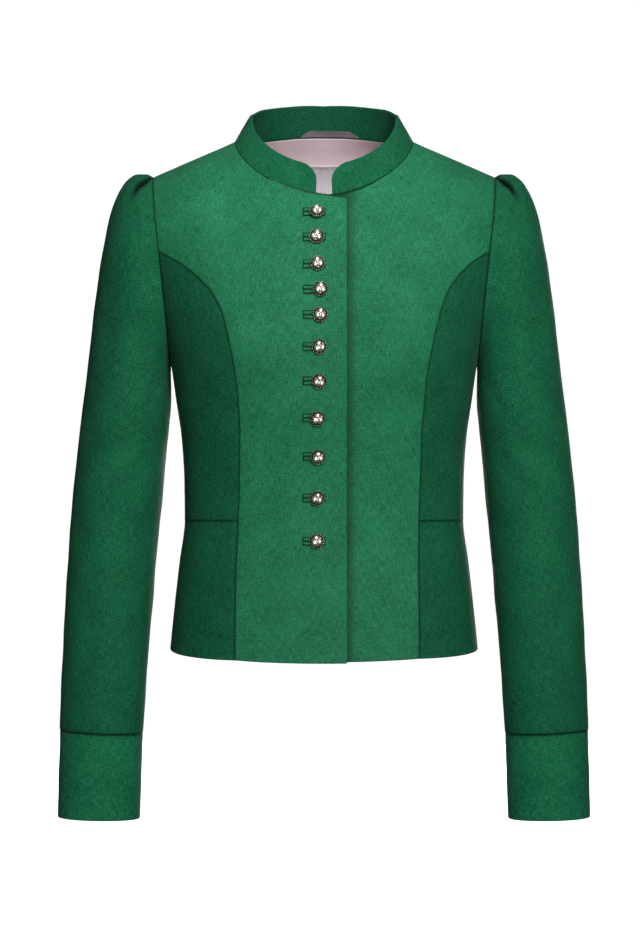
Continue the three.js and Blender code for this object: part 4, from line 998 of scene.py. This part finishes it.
def makeSleeve(side):
    # rows at even lengths down the outer line, closer at both ends, and columns round each ring; the
    # puff beside the armhole, the creases and the seam under the arm lift the cloth
    form, dense = sleeveForm, np.linspace(0, 15, 900)
    at = lengthsAlong(sleevePoint(dense, 0 * dense))
    total = at[-1]
    ending = total - np.array([2.4, 1.5, 0.9, 0.5, 0.2])
    lengths = np.concatenate([[0.16, 0.46, 0.86, 1.46, 2.3], np.arange(3.6, 66, 1.7),
                              np.linspace(67.5, total - 3.8, 158), ending])
    row = np.interp(lengths, at, dense)
    angle, lift, deepest, shade = pleatShape(row)
    rows = np.broadcast_to(row, angle.shape)
    points = sleevePoint(rows, angle)
    points[:, -1, 2] += 0.2
    fromSeam = np.minimum(np.linalg.norm(points - points[:, :1], axis=-1), 60)
    lift = lift + form["puff"] * (1 - bell(angle, 0.5)) * smooth(fromSeam / 2.5) * bell(fromSeam, 10)
    scale = form["perDegree"]
    u, v = np.degrees(angle) * scale, -points[..., 2]
    creases = [(a * scale, d, b * scale, e, *rest) for a, d, b, e, *rest in form["creases"]]
    lift = lift + creaseField(u, v, creases, 7) * smooth(fromSeam / 40) + 0.35 * unevenness(u, v, 60, 13)
    under = np.linalg.norm(points - sleevePoint(rows, np.full(rows.shape, pi)), axis=-1)
    lift = lift - form["underSeam"] * bell(under, 1.1)
    # the weave runs round the arm's own line and straight down
    wide = np.concatenate([points, points[:1]])
    line, depth = wide[..., 0] - (144 - 0.18 * wide[..., 2]), sleeveRing(row).mid - wide[..., 1]
    uv = np.stack([form["roundArm"] * np.unwrap(np.arctan2(depth, line), axis=0), wide[..., 2]], -1) * mm
    piece = clothShell("sleeve" + sideNames[side], points * [side, 1, 1], form["cloth"],
                       {"bottom": "armhole", "top": "under"}, uv, [linenSleeve, satinLining], lift=lift,
                       closed=True, pucker=0.05, seed=71 + side, deepest=deepest, shade=shade)
    finishSheet(piece, "sleeve_" + sideNames[side].lower())


def makeCuff(side):
    # the cuff's rings with a faint unevenness, and the seam under the arm
    row = places([0, 1], 87, 3.0, gap=0.1) * 2
    angle, rows = np.meshgrid(np.linspace(-pi, pi, 121)[:-1], row, indexing="ij")
    points = ringPoint(cuffRing(rows), angle)
    lift = 0.3 * unevenness(np.degrees(angle) * 0.7, -points[..., 2], 45, 15)
    under = np.linalg.norm(points - ringPoint(cuffRing(rows), np.full(rows.shape, pi)), axis=-1)
    piece = clothShell("cuff" + sideNames[side], points * [side, 1, 1], bodyForm["cloth"],
                       {"bottom": "over", "top": "fold"}, gridUv(points, closed=True), [linenCuff, linenCuff],
                       lift=lift - 0.5 * bell(under, 1.1), closed=True, inner=0, seed=81 + side)
    finishSheet(piece, "cuff_" + sideNames[side].lower())


# Lining, label and hanger loop.
plainEdges = dict.fromkeys(("left", "right", "bottom", "top"), "plain")
liningForm = {
    "cloth": 1.0, "depth": 2.36, "neckDepth": 2.06, "tuckedShare": 0.02, "fromShare": 0.7,
    "cut": (0.435, 0.25), "area": 0.0625,
    "folds": [(-44, 42, -30, 150, 7, -1.2, 5), (-22, 40, -16, 150, 6, -0.9, -4),
              (30, 42, 20, 150, 7, -1.2, -5), (52, 40, 62, 150, 8, -1.0, 4),
              (-66, 30, -82, 140, 8, -1.1, -4), (8, 70, 2, 150, 6, -0.7, 2)],
}
labelForm = {"cloth": 0.8, "topDrop": 12, "bottomDrop": 56, "halfWidth": 21, "cut": (0.044, 0.046),
             "stitches": 15, "stitchLength": 1.9, "thick": 0.28, "slant": 0.45}


def liningFolds(x, drop):
    # 1.7 times the creases and the unevenness, plus 0.3, kept between 0 and 3
    folds = creaseField(x, drop + 30, liningForm["folds"], 9) + 0.25 * unevenness(x, drop, 30, 17)
    return np.clip(1.7 * folds + 0.3, 0, 3)


def makeLining():
    # the back's grid near its top, moved in by its depth and folds; at the neck it lies close to the
    # back, under the collar's edge
    u = places([0, 0.25, 0.75, 1], backPanel["wide"], 3.0, gap=0.3)
    v = mix(liningForm["fromShare"], 1, places([0, 1], 160, 2.6, gap=0.5))
    x, length = np.moveaxis(backGrid(u, v), -1, 0)
    drop = dropOf(x, length, 1)
    points = flatPoint(x, length, 1)
    folded = liningForm["depth"] + liningFolds(x, drop)
    depth = mix(liningForm["neckDepth"], folded, smooth((1 - v) / liningForm["tuckedShare"]))
    inside = points - gridNormals(points)[0] * depth[..., None]
    piece = clothShell("liningBack", inside, liningForm["cloth"], plainEdges, clothUv(x, drop, 1),
                       [satinLining, satinLining], inner=0)
    finishSheet(piece, "lining_back")


def makeLabel():
    # a rectangle of the back's surface, further in than the lining's folds
    form = labelForm
    x, drop = np.meshgrid(np.linspace(-form["halfWidth"], form["halfWidth"], 34),
                          np.linspace(form["bottomDrop"], form["topDrop"], 46), indexing="ij")
    points = np.stack([x, torsoY(x, drop, 1), -drop], -1)
    normals, _ = gridNormals(points)
    depth = liningForm["depth"] + liningForm["cloth"] + bodyForm["seamGap"] + liningFolds(x, drop)
    inside = points - normals * depth[..., None]
    piece = clothShell("neckLabel", inside, form["cloth"], plainEdges, gridUv(inside),
                       [wovenLabel, wovenLabel], inner=0)
    finishSheet(piece, "label")
    makeStitches(inside - normals * form["cloth"], normals)


def makeStitches(surface, normals):
    # slanted overlock stitches over the label's top edge, each a six-sided thread that bends as a sine
    count, length, thick = labelForm["stitches"], labelForm["stitchLength"], labelForm["thick"]
    column = (np.linspace(0.03, 0.97, count) * (surface.shape[0] - 1)).astype(int)
    foot, out = surface[column, -2], -normals[column, -2]
    down = unit(surface[column, -6] - surface[column, -2])
    sideways = np.cross(down, out)
    t = np.linspace(-0.35, 1, 6)
    bend = np.sin(np.linspace(0, pi, 6)) * 0.35 + 0.1
    slant = np.where(np.arange(count) % 2, labelForm["slant"], -labelForm["slant"])[:, None, None]
    line = (foot[:, None] + down[:, None] * (t * length)[None, :, None] + out[:, None] * bend[None, :, None]
            + sideways[:, None] * (t * length)[None, :, None] * slant)
    turn = np.linspace(0, 2 * pi, 7)[:-1]
    ring = (np.cos(turn)[:, None, None, None] * sideways[None, :, None] * thick
            + np.sin(turn)[:, None, None, None] * out[None, :, None] * thick)
    points = (line[None] + ring).transpose(1, 0, 2, 3)
    offsets = np.arange(count)[:, None, None] * 36
    caps = np.stack([np.arange(6)[::-1] * 6, np.arange(6) * 6 + 5])
    faces = ((gridFaces(6, 6, True)[0][None] + offsets).reshape(-1, 4).tolist()
             + (caps[None] + offsets).reshape(-1, 6).tolist())
    piece = buildMesh("labelStitches", points.reshape(-1, 3), faces, [stitchThread])
    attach(piece, "root")


loopForm = {
    "columns": [-24.5, -16.5, -8, 20, 29, 38.5],
    "low": [0.1, 0.2, 0.2, 0.2, 0.2, 0.1],
    "high": [1.4, 6.2, 6.6, 6.6, 6.2, 1.4],
    "cloth": 0.8, "off": 1.1, "cut": (0.066, 0.012), "area": 0.00035,
}


def makeLoop():
    # a ribbon in a low arch against the collar's inner side, its ends in the neck seam; its middle
    # stands off by the square of the share up
    where, spots, up, face = collarFrame()
    columns = loopForm["columns"]
    across = np.linspace(columns[0], columns[-1], 60)
    low, high = (np.interp(across, columns, loopForm[key])[:, None] for key in ("low", "high"))
    at = where[-1] / 2 + across
    base, rise, out = (readLine(at, where, line) for line in (spots, up, face))
    rise, out = unit(rise), unit(out)
    t = np.linspace(0, 1, 14)
    height = mix(low, high, t)
    free = smooth((20 - np.abs(across - 6)) / 14 + 0.2)[:, None, None]
    standsOff = collarForm["cloth"] + bodyForm["seamGap"] + loopForm["off"] * t[None, :, None] ** 2 * free
    points = base[:, None] + rise[:, None] * height[..., None] - out[:, None] * standsOff
    piece = clothShell("hangerLoop", points, loopForm["cloth"], plainEdges, gridUv(points),
                       [satinRibbon, satinRibbon], inner=0, outward=out[:, None])
    finishSheet(piece, "hanger_loop")


# Buttons and buttonholes.
buttonForm = {
    "x": [-6.8, -7.3, -6.2, -3.5, -3.9, -4.7, -4.9, -6.2, -5.7, -6.5, -7.1],
    "drop": [77.4, 102.4, 129, 153.7, 178.2, 208.8, 241.4, 276.7, 314, 354.3, 396.7],
    "radius": 7.5, "gap": 1.75, "petals": 18, "around": 144, "firstTilt": 0.4,
    "notch": 0.045, "notchDrop": 0.3,
    "lobes": 3, "lobeOut": 0.43, "lobeSize": 0.41, "lobeHeight": 2.2, "turn": 0.2,
    "share": [0, 0.08, 0.16, 0.24, 0.32, 0.4, 0.48, 0.56, 0.64, 0.71, 0.77, 0.81, 0.84, 0.86, 0.88, 0.91,
              0.94, 0.97, 0.99, 1.0],
    "underShare": [0.985, 0.95, 0.9, 0.6, 0.24, 0.22, 0.22, 0.2],
    "underHeight": [0.6, 0.25, 0, 0.05, 0.05, -0.1, -0.35, -0.5],
    "domeFoot": 1.1, "domeRise": 3.0, "domeShare": 0.93, "groove": 2.3, "bankFoot": 0.9, "bankRise": 1.5,
}
buttonholeForm = {"left": -20.8, "right": 1.4, "height": 8.6, "slit": 1.3, "lip": 0.95, "stand": 0.3,
                  "gap": 0.36, "border": 0.95, "standDark": 1.25}


def upperFront(x, drop):
    # a point of the upper front's outer side, and its normal across half a millimetre each way
    def place(a, b):
        # the point of the front's surface at x = a and drop = b
        return np.stack([a, torsoY(a, b, -1), -b], -1)
    x, drop = np.asarray(x, float), np.asarray(drop, float)
    normal = unit(np.cross(place(x + 0.5, drop) - place(x - 0.5, drop),
                           place(x, drop - 0.5) - place(x, drop + 0.5)))
    normal = normal * -np.sign(normal[..., 1:2])
    lift = lapLift(-1, x) + bodyFolds(x, drop, -1)
    return place(x, drop) + normal * lift[..., None], normal


def tubeFaces(columns, rows, flip, start=0):
    # the quads round a closed grid, and a fan over each end to the two vertices that follow it
    ring = np.arange(columns)
    after = (ring + 1) % columns
    end = 0 * ring + columns * rows
    first = np.stack([after * rows, ring * rows, end], -1)
    last = np.stack([ring * rows + rows - 1, after * rows + rows - 1, end + 1], -1)
    groups = [group + start for group in (gridFaces(columns, rows, True)[0], first, last)]
    return [face for group in groups for face in (group[:, ::-1] if flip else group).tolist()]


def finishPart(piece, node):
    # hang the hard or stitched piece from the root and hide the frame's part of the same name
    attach(piece, "root")
    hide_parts(node)


def makeButton(number, x, drop):
    # radius and height against a path from the crown over the rim to the shank's foot: a dome as the root
    # of one less the share to the fourth, a groove and a round bank; three round bosses stand on it, and
    # the rim is notched all round by a cosine
    form = buttonForm
    share = np.array(form["share"] + form["underShare"])
    under = np.arange(len(share)) >= len(form["share"])
    dome = form["domeFoot"] + form["domeRise"] * np.sqrt(np.clip(1 - (share / form["domeShare"]) ** 4, 0, 1))
    bank = form["bankFoot"] + form["bankRise"] * np.sqrt(np.clip(1 - ((share - 0.92) / 0.085) ** 2, 0, 1))
    height = np.where(share < 0.83, dome, np.where(share < 0.85, form["groove"], bank))
    height[under] = form["underHeight"]
    rim = np.where(under, 0, smooth((share - 0.7) / 0.14)) + np.where(under & (share > 0.89), 1, 0)
    angle = np.linspace(0, 2 * pi, form["around"] + 1)[:-1][:, None]
    dent = rim * (1 - np.abs(np.cos(angle * form["petals"] / 2)) ** 0.6)
    radius = form["radius"] * share * (1 - form["notch"] * dent)
    lobes = np.zeros_like(radius)
    for lobe in range(form["lobes"]):
        toward = pi / 2 + lobe * 2 * pi / form["lobes"] + form["turn"] * np.sin(number * 2.4)
        away = np.sqrt(share**2 + form["lobeOut"] ** 2 - 2 * share * form["lobeOut"] * np.cos(angle - toward))
        lobes = np.maximum(lobes, np.sqrt(np.clip(1 - (away / form["lobeSize"]) ** 2, 0, 1)) * ~under)
    level = height * (1 - form["notchDrop"] * dent * ~under) + form["lobeHeight"] * lobes
    # it stands on the cloth, the first one leaning up and the others a little to all sides
    centre, normal = upperFront(x, drop)
    tilt = form["firstTilt"] if number == 1 else 0.06 * np.sin(number * 1.7)
    out = unit(normal + [0.03 * np.sin(number * 3.1), 0, tilt])
    right = unit(np.cross([0.0, 0.0, 1.0], out))
    upward = np.cross(out, right)
    base = centre + normal * (form["gap"] + 4 * abs(tilt)) - [0, 0, 3 * tilt]
    rings = (base + (radius * np.cos(angle))[..., None] * right + (radius * np.sin(angle))[..., None] * upward
             + level[..., None] * out)
    poles = np.array([base + out * level[:, 0].mean(), base + out * level[:, -1].mean()])
    vertices = np.concatenate([rings[:, 1:].reshape(-1, 3), poles])
    dark = (0.8 * bell(share - 0.84, 0.04) + 0.9 * dent + 0.35 * smooth((share - 0.5) / 0.4)
            + 0.55 * (1 - smooth(lobes * 2.5)) * (share < 0.8))
    patina = np.concatenate([np.clip(dark, 0, 1)[:, 1:].ravel(), [0, 1]])
    piece = buildMesh(f"button{number:02d}", vertices, tubeFaces(form["around"], len(share) - 1, True),
                      [oldSilver], marks={"patina": patina}, sharp=60)
    finishPart(piece, f"button_{number:02d}")


def makeButtonhole(number, drop):
    # a stand of cloth painted in shadow, and on it two lips with the slit between, painted darker on their
    # lower half and along their long edges: each is a flattened tube with quarter-circle ends that follows
    # the front
    form = buttonholeForm
    half, slit, border = form["height"] / 2, form["slit"] / 2, form["border"]
    tall, lip = (half - slit - border) / 2, form["lip"]
    left, right = form["left"] + border, form["right"] - border
    bars = [(left, right, slit + tall, tall, lip), (left, right, -slit - tall, tall, lip),
            (form["left"], form["right"], 0, half, form["stand"])]
    t = np.concatenate([[0, 0.012, 0.035], np.linspace(0.07, 0.93, 26), [0.965, 0.988, 1]])
    around, along = np.meshgrid(np.linspace(0, 2 * pi, 21)[:-1], t, indexing="ij")
    s, c = np.sin(around), np.cos(around)
    endShape = np.sqrt(1 - (1 - np.clip(np.minimum(t, 1 - t) / 0.045, 0, 1)) ** 2)
    endShape[[0, -1]] = 0.3
    parts, faces, marks, offset = [], [], [], 0
    for x0, x1, centre, tall, thick in bars:
        raised = thick > form["stand"]
        wave = 0.12 * np.sin(t * 21 + number * 1.7 + (centre > 0))
        across = np.sign(c) * np.abs(c) ** 0.7 * tall * (0.75 + 0.25 * endShape)
        high = (0.5 + 0.5 * np.sign(s) * np.abs(s) ** 0.8) * thick * (0.55 + 0.45 * endShape)
        high = high + wave * 0.4 * (s > 0) * raised
        on, normal = upperFront(mix(x0, x1, along), drop - centre - across)
        points = on + normal * (form["gap"] + high)[..., None]
        outside = (np.cross(points[1, 5] - points[0, 5], points[0, 6] - points[0, 5])
                   @ (points[0, 5] - points[:, 5].mean(0)))
        faces += tubeFaces(*points.shape[:2], outside <= 0, offset)
        parts += [points.reshape(-1, 3), [points[:, 0].mean(0), points[:, -1].mean(0)]]
        # painted shade: the lips' marks darken their lower half and long edges, the stand's mark paints it in
        # shadow
        edge = np.clip(np.clip(1 - s, 0, 1) * 0.5 + 0.5 * (np.abs(c) > 0.93), 0, 1)
        marks += [edge.ravel() if raised else np.full(edge.size, form["standDark"]), [1, 1]]
        offset += edge.size + 2
    vertices = np.concatenate(parts)
    uv = np.stack([vertices[:, 2], vertices[:, 0]], -1) * mm
    piece = buildMesh(f"buttonhole{number:02d}", vertices, faces, [linenCloth], uv[np.concatenate(faces)],
                      marks={"seam": np.concatenate(marks)})
    finishPart(piece, f"buttonhole_{number:02d}")


# Materials.
def newGroup(name, inputs, outputs):
    # a node group with these sockets
    group = bpy.data.node_groups.new(name, "ShaderNodeTree")
    for label, kind, default in inputs:
        socket = group.interface.new_socket(name=label, in_out="INPUT", socket_type=kind)
        if default is not None:
            socket.default_value = default
    for label, kind in outputs:
        group.interface.new_socket(name=label, in_out="OUTPUT", socket_type=kind)
    return group, group.nodes.new("NodeGroupInput"), group.nodes.new("NodeGroupOutput")


class Wires:
    # short ways of adding nodes to a tree and joining them
    def __init__(self, tree):
        self.tree = tree

    def node(self, kind, **settings):
        # a node of this kind with its settings
        made = self.tree.nodes.new("ShaderNode" + kind)
        for key, value in settings.items():
            setattr(made, key, value)
        return made

    def put(self, socket, value):
        # a wire from another socket, or a value
        if isinstance(value, bpy.types.NodeSocket):
            self.tree.links.new(value, socket)
        else:
            socket.default_value = value

    def math(self, operation, a, b=0.0, c=0.0):
        # the operation on a, b and c
        made = self.node("Math", operation=operation)
        for socket, value in zip(made.inputs, (a, b, c)):
            self.put(socket, value)
        return made.outputs[0]

    def noise(self, vector, scale, detail=2.0, roughness=0.5):
        # noise with this many features to a unit of the vector
        made = self.node("TexNoise")
        values = {"Vector": vector, "Scale": scale, "Detail": detail, "Roughness": roughness}
        for label, value in values.items():
            self.put(made.inputs[label], value)
        return made.outputs["Fac"]

    def stretch(self, vector, scale):
        # the vector times the scale along each axis
        made = self.node("Mapping")
        self.put(made.inputs["Vector"], vector)
        made.inputs["Scale"].default_value = scale
        return made.outputs["Vector"]

    def ramp(self, factor, stops):
        # a colour between those at the stops
        made = self.node("ValToRGB")
        self.put(made.inputs["Fac"], factor)
        elements = made.color_ramp.elements
        while len(elements) < len(stops):
            elements.new(0.5)
        for element, (position, color) in zip(elements, stops):
            element.position = position
            element.color = (*color, 1)
        return made.outputs["Color"]

    def blend(self, factor, a, b):
        # the colour a, plus the share "factor" of the way to b
        made = self.node("Mix", data_type="RGBA")
        for place, value in ((0, factor), (6, a), (7, b)):
            self.put(made.inputs[place], value)
        return made.outputs[2]


weaveForm = {"slubsU": (150, 1300, 1), "slubsV": (1300, 130, 1), "spots": 1500.0, "broad": 26.0,
             "slubTone": 1.25, "mottleTone": 3.0, "broadTone": 0.35, "threadTone": 0.05, "threadHeight": 0.35}


def makeWeave():
    # a plain weave: two sine waves multiplied, with slubs as noise drawn out along each thread direction,
    # and a mottle between; tone is 0.5 plus each of them times its weight, height is for a bump
    group, given, result = newGroup("slubWeave", [
        ("Vector", "NodeSocketVector", None), ("Threads", "NodeSocketFloat", 1400.0),
        ("Slub", "NodeSocketFloat", 1.0), ("Mottle", "NodeSocketFloat", 1.0)],
        [("Tone", "NodeSocketFloat"), ("Height", "NodeSocketFloat")])
    w, form = Wires(group), weaveForm
    vector = given.outputs["Vector"]
    split = w.node("SeparateXYZ")
    w.put(split.inputs[0], vector)
    turn = w.math("MULTIPLY", given.outputs["Threads"], pi)
    waves = [w.math("SINE", w.math("MULTIPLY", split.outputs[axis], turn)) for axis in "XY"]
    weave = w.math("MULTIPLY", *waves)
    alongU, alongV = (w.noise(w.stretch(vector, form[key]), 1.0, 3.0, 0.6) for key in ("slubsU", "slubsV"))
    spots, broad = w.noise(vector, form["spots"], 3.0, 0.7), w.noise(vector, form["broad"], 2.0, 0.5)
    slubs = w.math("SUBTRACT", w.math("ADD", alongU, alongV), 1.0)
    slubs = w.math("MULTIPLY", slubs, given.outputs["Slub"])
    mottle = w.math("MULTIPLY", w.math("SUBTRACT", spots, 0.5), given.outputs["Mottle"])
    parts = {"slubTone": slubs, "mottleTone": mottle, "broadTone": w.math("SUBTRACT", broad, 0.5),
             "threadTone": weave}
    tone = 0.5
    for weight, part in parts.items():
        tone = w.math("MULTIPLY_ADD", part, form[weight], tone)
    height = w.math("MULTIPLY_ADD", weave, form["threadHeight"], w.math("ADD", slubs, mottle))
    w.put(result.inputs["Tone"], tone)
    w.put(result.inputs["Height"], height)
    return group


def startMaterial(name):
    # a material, the wires of its nodes and its shader
    material = bpy.data.materials.new(name)
    material.use_nodes = True
    return material, Wires(material.node_tree), material.node_tree.nodes["Principled BSDF"]


def useWeave(w, form):
    # the weave's tone and height on the cloth's own lengths
    made = w.node("Group", node_tree=slubWeave)
    w.put(made.inputs["Vector"], w.node("UVMap", uv_map="cloth").outputs["UV"])
    for label in ("Threads", "Slub", "Mottle"):
        made.inputs[label].default_value = form[label.lower()]
    return made.outputs["Tone"], made.outputs["Height"]


def addBump(w, shader, height, distance):
    # the height as a bump this many metres high
    made = w.node("Bump")
    made.inputs["Strength"].default_value = 1.0
    made.inputs["Distance"].default_value = distance
    w.put(made.inputs["Height"], height)
    w.put(shader.inputs["Normal"], made.outputs["Normal"])


linenForm = {
    "colors": [(0.1, (0.0016, 0.0440, 0.0170)), (0.5, (0.0068, 0.1300, 0.0550)),
               (0.9, (0.0240, 0.2350, 0.1150))],
    "paintedShadeColor": (0.001, 0.012, 0.0054, 1), "paintedShadeWeight": 0.76, "roughness": (0.12, 0.69), "bump": 0.00012,
    "threads": 1500.0, "slub": 1.0, "mottle": 1.0, "sheen": 0.03, "sheenRoughness": 0.5,
    "sheenTint": (0.55, 0.9, 0.7, 1),
}
# how far each piece's colour is darkened as painted shade for the collar, sides and sleeves, and its
# reflection
linenPieces = {
    "linenBody": (1.0, 0.17), "linenCollar": (0.66, 0.06), "linenSide": (0.62, 0.06),
    "linenSleeve": (0.72, 0.06), "linenCuff": (1.0, 0.06),
}


def makeLinen(name):
    # the weave's tone gives the colour, times the piece's painted shade, and the roughness; the "seam"
    # mark blends the colour towards a deep green of painted shade, in seams, creases, overlaps and hollows
    form, (shade, shine) = linenForm, linenPieces[name]
    material, w, shader = startMaterial(name)
    tone, height = useWeave(w, form)
    color = w.ramp(tone, [(place, [c * shade for c in color]) for place, color in form["colors"]])
    seam = w.node("Attribute", attribute_name="seam")
    # painted shade: the mark darkens the colour towards a deep green
    color = w.blend(w.math("MULTIPLY", seam.outputs["Fac"], form["paintedShadeWeight"]), color, form["paintedShadeColor"])
    w.put(shader.inputs["Base Color"], color)
    w.put(shader.inputs["Roughness"], w.math("MULTIPLY_ADD", tone, *form["roughness"]))
    shader.inputs["Specular IOR Level"].default_value = shine
    shader.inputs["Sheen Weight"].default_value = form["sheen"]
    shader.inputs["Sheen Roughness"].default_value = form["sheenRoughness"]
    shader.inputs["Sheen Tint"].default_value = form["sheenTint"]
    addBump(w, shader, height, form["bump"])
    return material


smoothCloths = {
    "satinLining": {"colors": [(0.3, (0.78, 0.58, 0.63)), (0.7, (0.93, 0.76, 0.80))],
                    "roughness": (0.14, 0.31), "threads": 4000.0, "slub": 0.35, "mottle": 0.4,
                    "grain": 0.4, "sheen": 0.1, "bump": 0.00004},
    "satinRibbon": {"colors": [(0.3, (0.075, 0.057, 0.070)), (0.7, (0.17, 0.140, 0.158))],
                    "roughness": (0.14, 0.35), "threads": 3200.0, "slub": 0.35, "mottle": 0.4,
                    "grain": 0.4, "sheen": 0.1, "bump": 0.00004},
    "wovenLabel": {"colors": [(0.2, (0.38, 0.36, 0.38)), (0.8, (0.56, 0.54, 0.55))],
                   "roughness": (0.2, 0.5), "threads": 2600.0, "slub": 0.5, "mottle": 0.6,
                   "grain": 0.0, "sheen": 0.0, "bump": 0.00008},
}


def makeSmoothCloth(name):
    # the weave's tone gives the colour and the roughness, grain draws the highlights out along the threads
    form = smoothCloths[name]
    material, w, shader = startMaterial(name)
    tone, height = useWeave(w, form)
    w.put(shader.inputs["Base Color"], w.ramp(tone, form["colors"]))
    w.put(shader.inputs["Roughness"], w.math("MULTIPLY_ADD", tone, *form["roughness"]))
    shader.inputs["Anisotropic"].default_value = form["grain"]
    shader.inputs["Sheen Weight"].default_value = form["sheen"]
    addBump(w, shader, height, form["bump"])
    return material


threadForm = {"strands": 3000.0, "colors": [(0.3, (0.10, 0.085, 0.095)), (0.7, (0.24, 0.21, 0.225))],
              "roughness": 0.7}


def makeThread():
    # a fine noise between two greys
    material, w, shader = startMaterial("stitchThread")
    strands = w.noise(w.node("TexCoord").outputs["Object"], threadForm["strands"], 2.0, 0.6)
    w.put(shader.inputs["Base Color"], w.ramp(strands, threadForm["colors"]))
    shader.inputs["Roughness"].default_value = threadForm["roughness"]
    return material


silverForm = {
    "colors": [(0.0, (0.88, 0.84, 0.78)), (0.35, (0.48, 0.42, 0.37)), (0.8, (0.04, 0.034, 0.03))],
    "cloud": 420.0, "grain": 2600.0, "patina": 0.95, "cloudAge": 0.5, "roughness": (0.3, 0.34),
    "bump": 0.00008,
}


def makeOldSilver():
    # age is 0.95 times the patina's mark plus half the cloud about its middle; it darkens and roughens
    form = silverForm
    material, w, shader = startMaterial("oldSilver")
    place = w.node("TexCoord").outputs["Object"]
    patina = w.node("Attribute", attribute_name="patina").outputs["Fac"]
    cloud, grain = w.noise(place, form["cloud"], 4.0, 0.6), w.noise(place, form["grain"], 3.0, 0.6)
    clouded = w.math("MULTIPLY", w.math("SUBTRACT", cloud, 0.5), form["cloudAge"])
    aged = w.math("MULTIPLY_ADD", patina, form["patina"], clouded)
    w.put(shader.inputs["Base Color"], w.ramp(aged, form["colors"]))
    shader.inputs["Metallic"].default_value = 1.0
    w.put(shader.inputs["Roughness"], w.math("MULTIPLY_ADD", aged, *form["roughness"]))
    addBump(w, shader, w.math("ADD", grain, cloud), form["bump"])
    return material


def makePaper():
    # the studio's paper, faintly uneven and evenly lit from behind
    material, w, shader = startMaterial("paper")
    cloud = w.noise(w.node("TexCoord").outputs["Object"], 0.8, 2.0)
    color = studio["paper"]
    w.put(shader.inputs["Base Color"], w.ramp(cloud, [(0.3, [c * 0.995 for c in color]), (0.7, color)]))
    shader.inputs["Roughness"].default_value = 0.9
    shader.inputs["Emission Color"].default_value = (1, 1, 1, 1)
    seen = w.node("LightPath").outputs["Is Camera Ray"]
    w.put(shader.inputs["Emission Strength"], w.math("MULTIPLY", seen, studio["paperGlow"]))
    return material


# Putting it together.
makeCamera()
makeStudio()
print("camera and studio set")
slubWeave = makeWeave()
linenCloth, linenCollar, linenSide, linenSleeve, linenCuff = map(makeLinen, linenPieces)
satinLining, satinRibbon, wovenLabel = map(makeSmoothCloth, smoothCloths)
stitchThread = makeThread()
oldSilver = makeOldSilver()
print("materials made")
for side in (-1, 1):
    makeFront(side)
    makeSideFront(side, "upper")
    makeSideFront(side, "lower")
    makeSideBack(side)
makeBack()
makeCollar()
print("body and collar made")
for side in (-1, 1):
    makeSleeve(side)
    makeCuff(side)
print("sleeves and cuffs made")
makeLining()
makeLabel()
makeLoop()
for number, (x, drop) in enumerate(zip(buttonForm["x"], buttonForm["drop"]), 1):
    makeButtonhole(number, drop)
    makeButton(number, x, drop)
print("closing made")
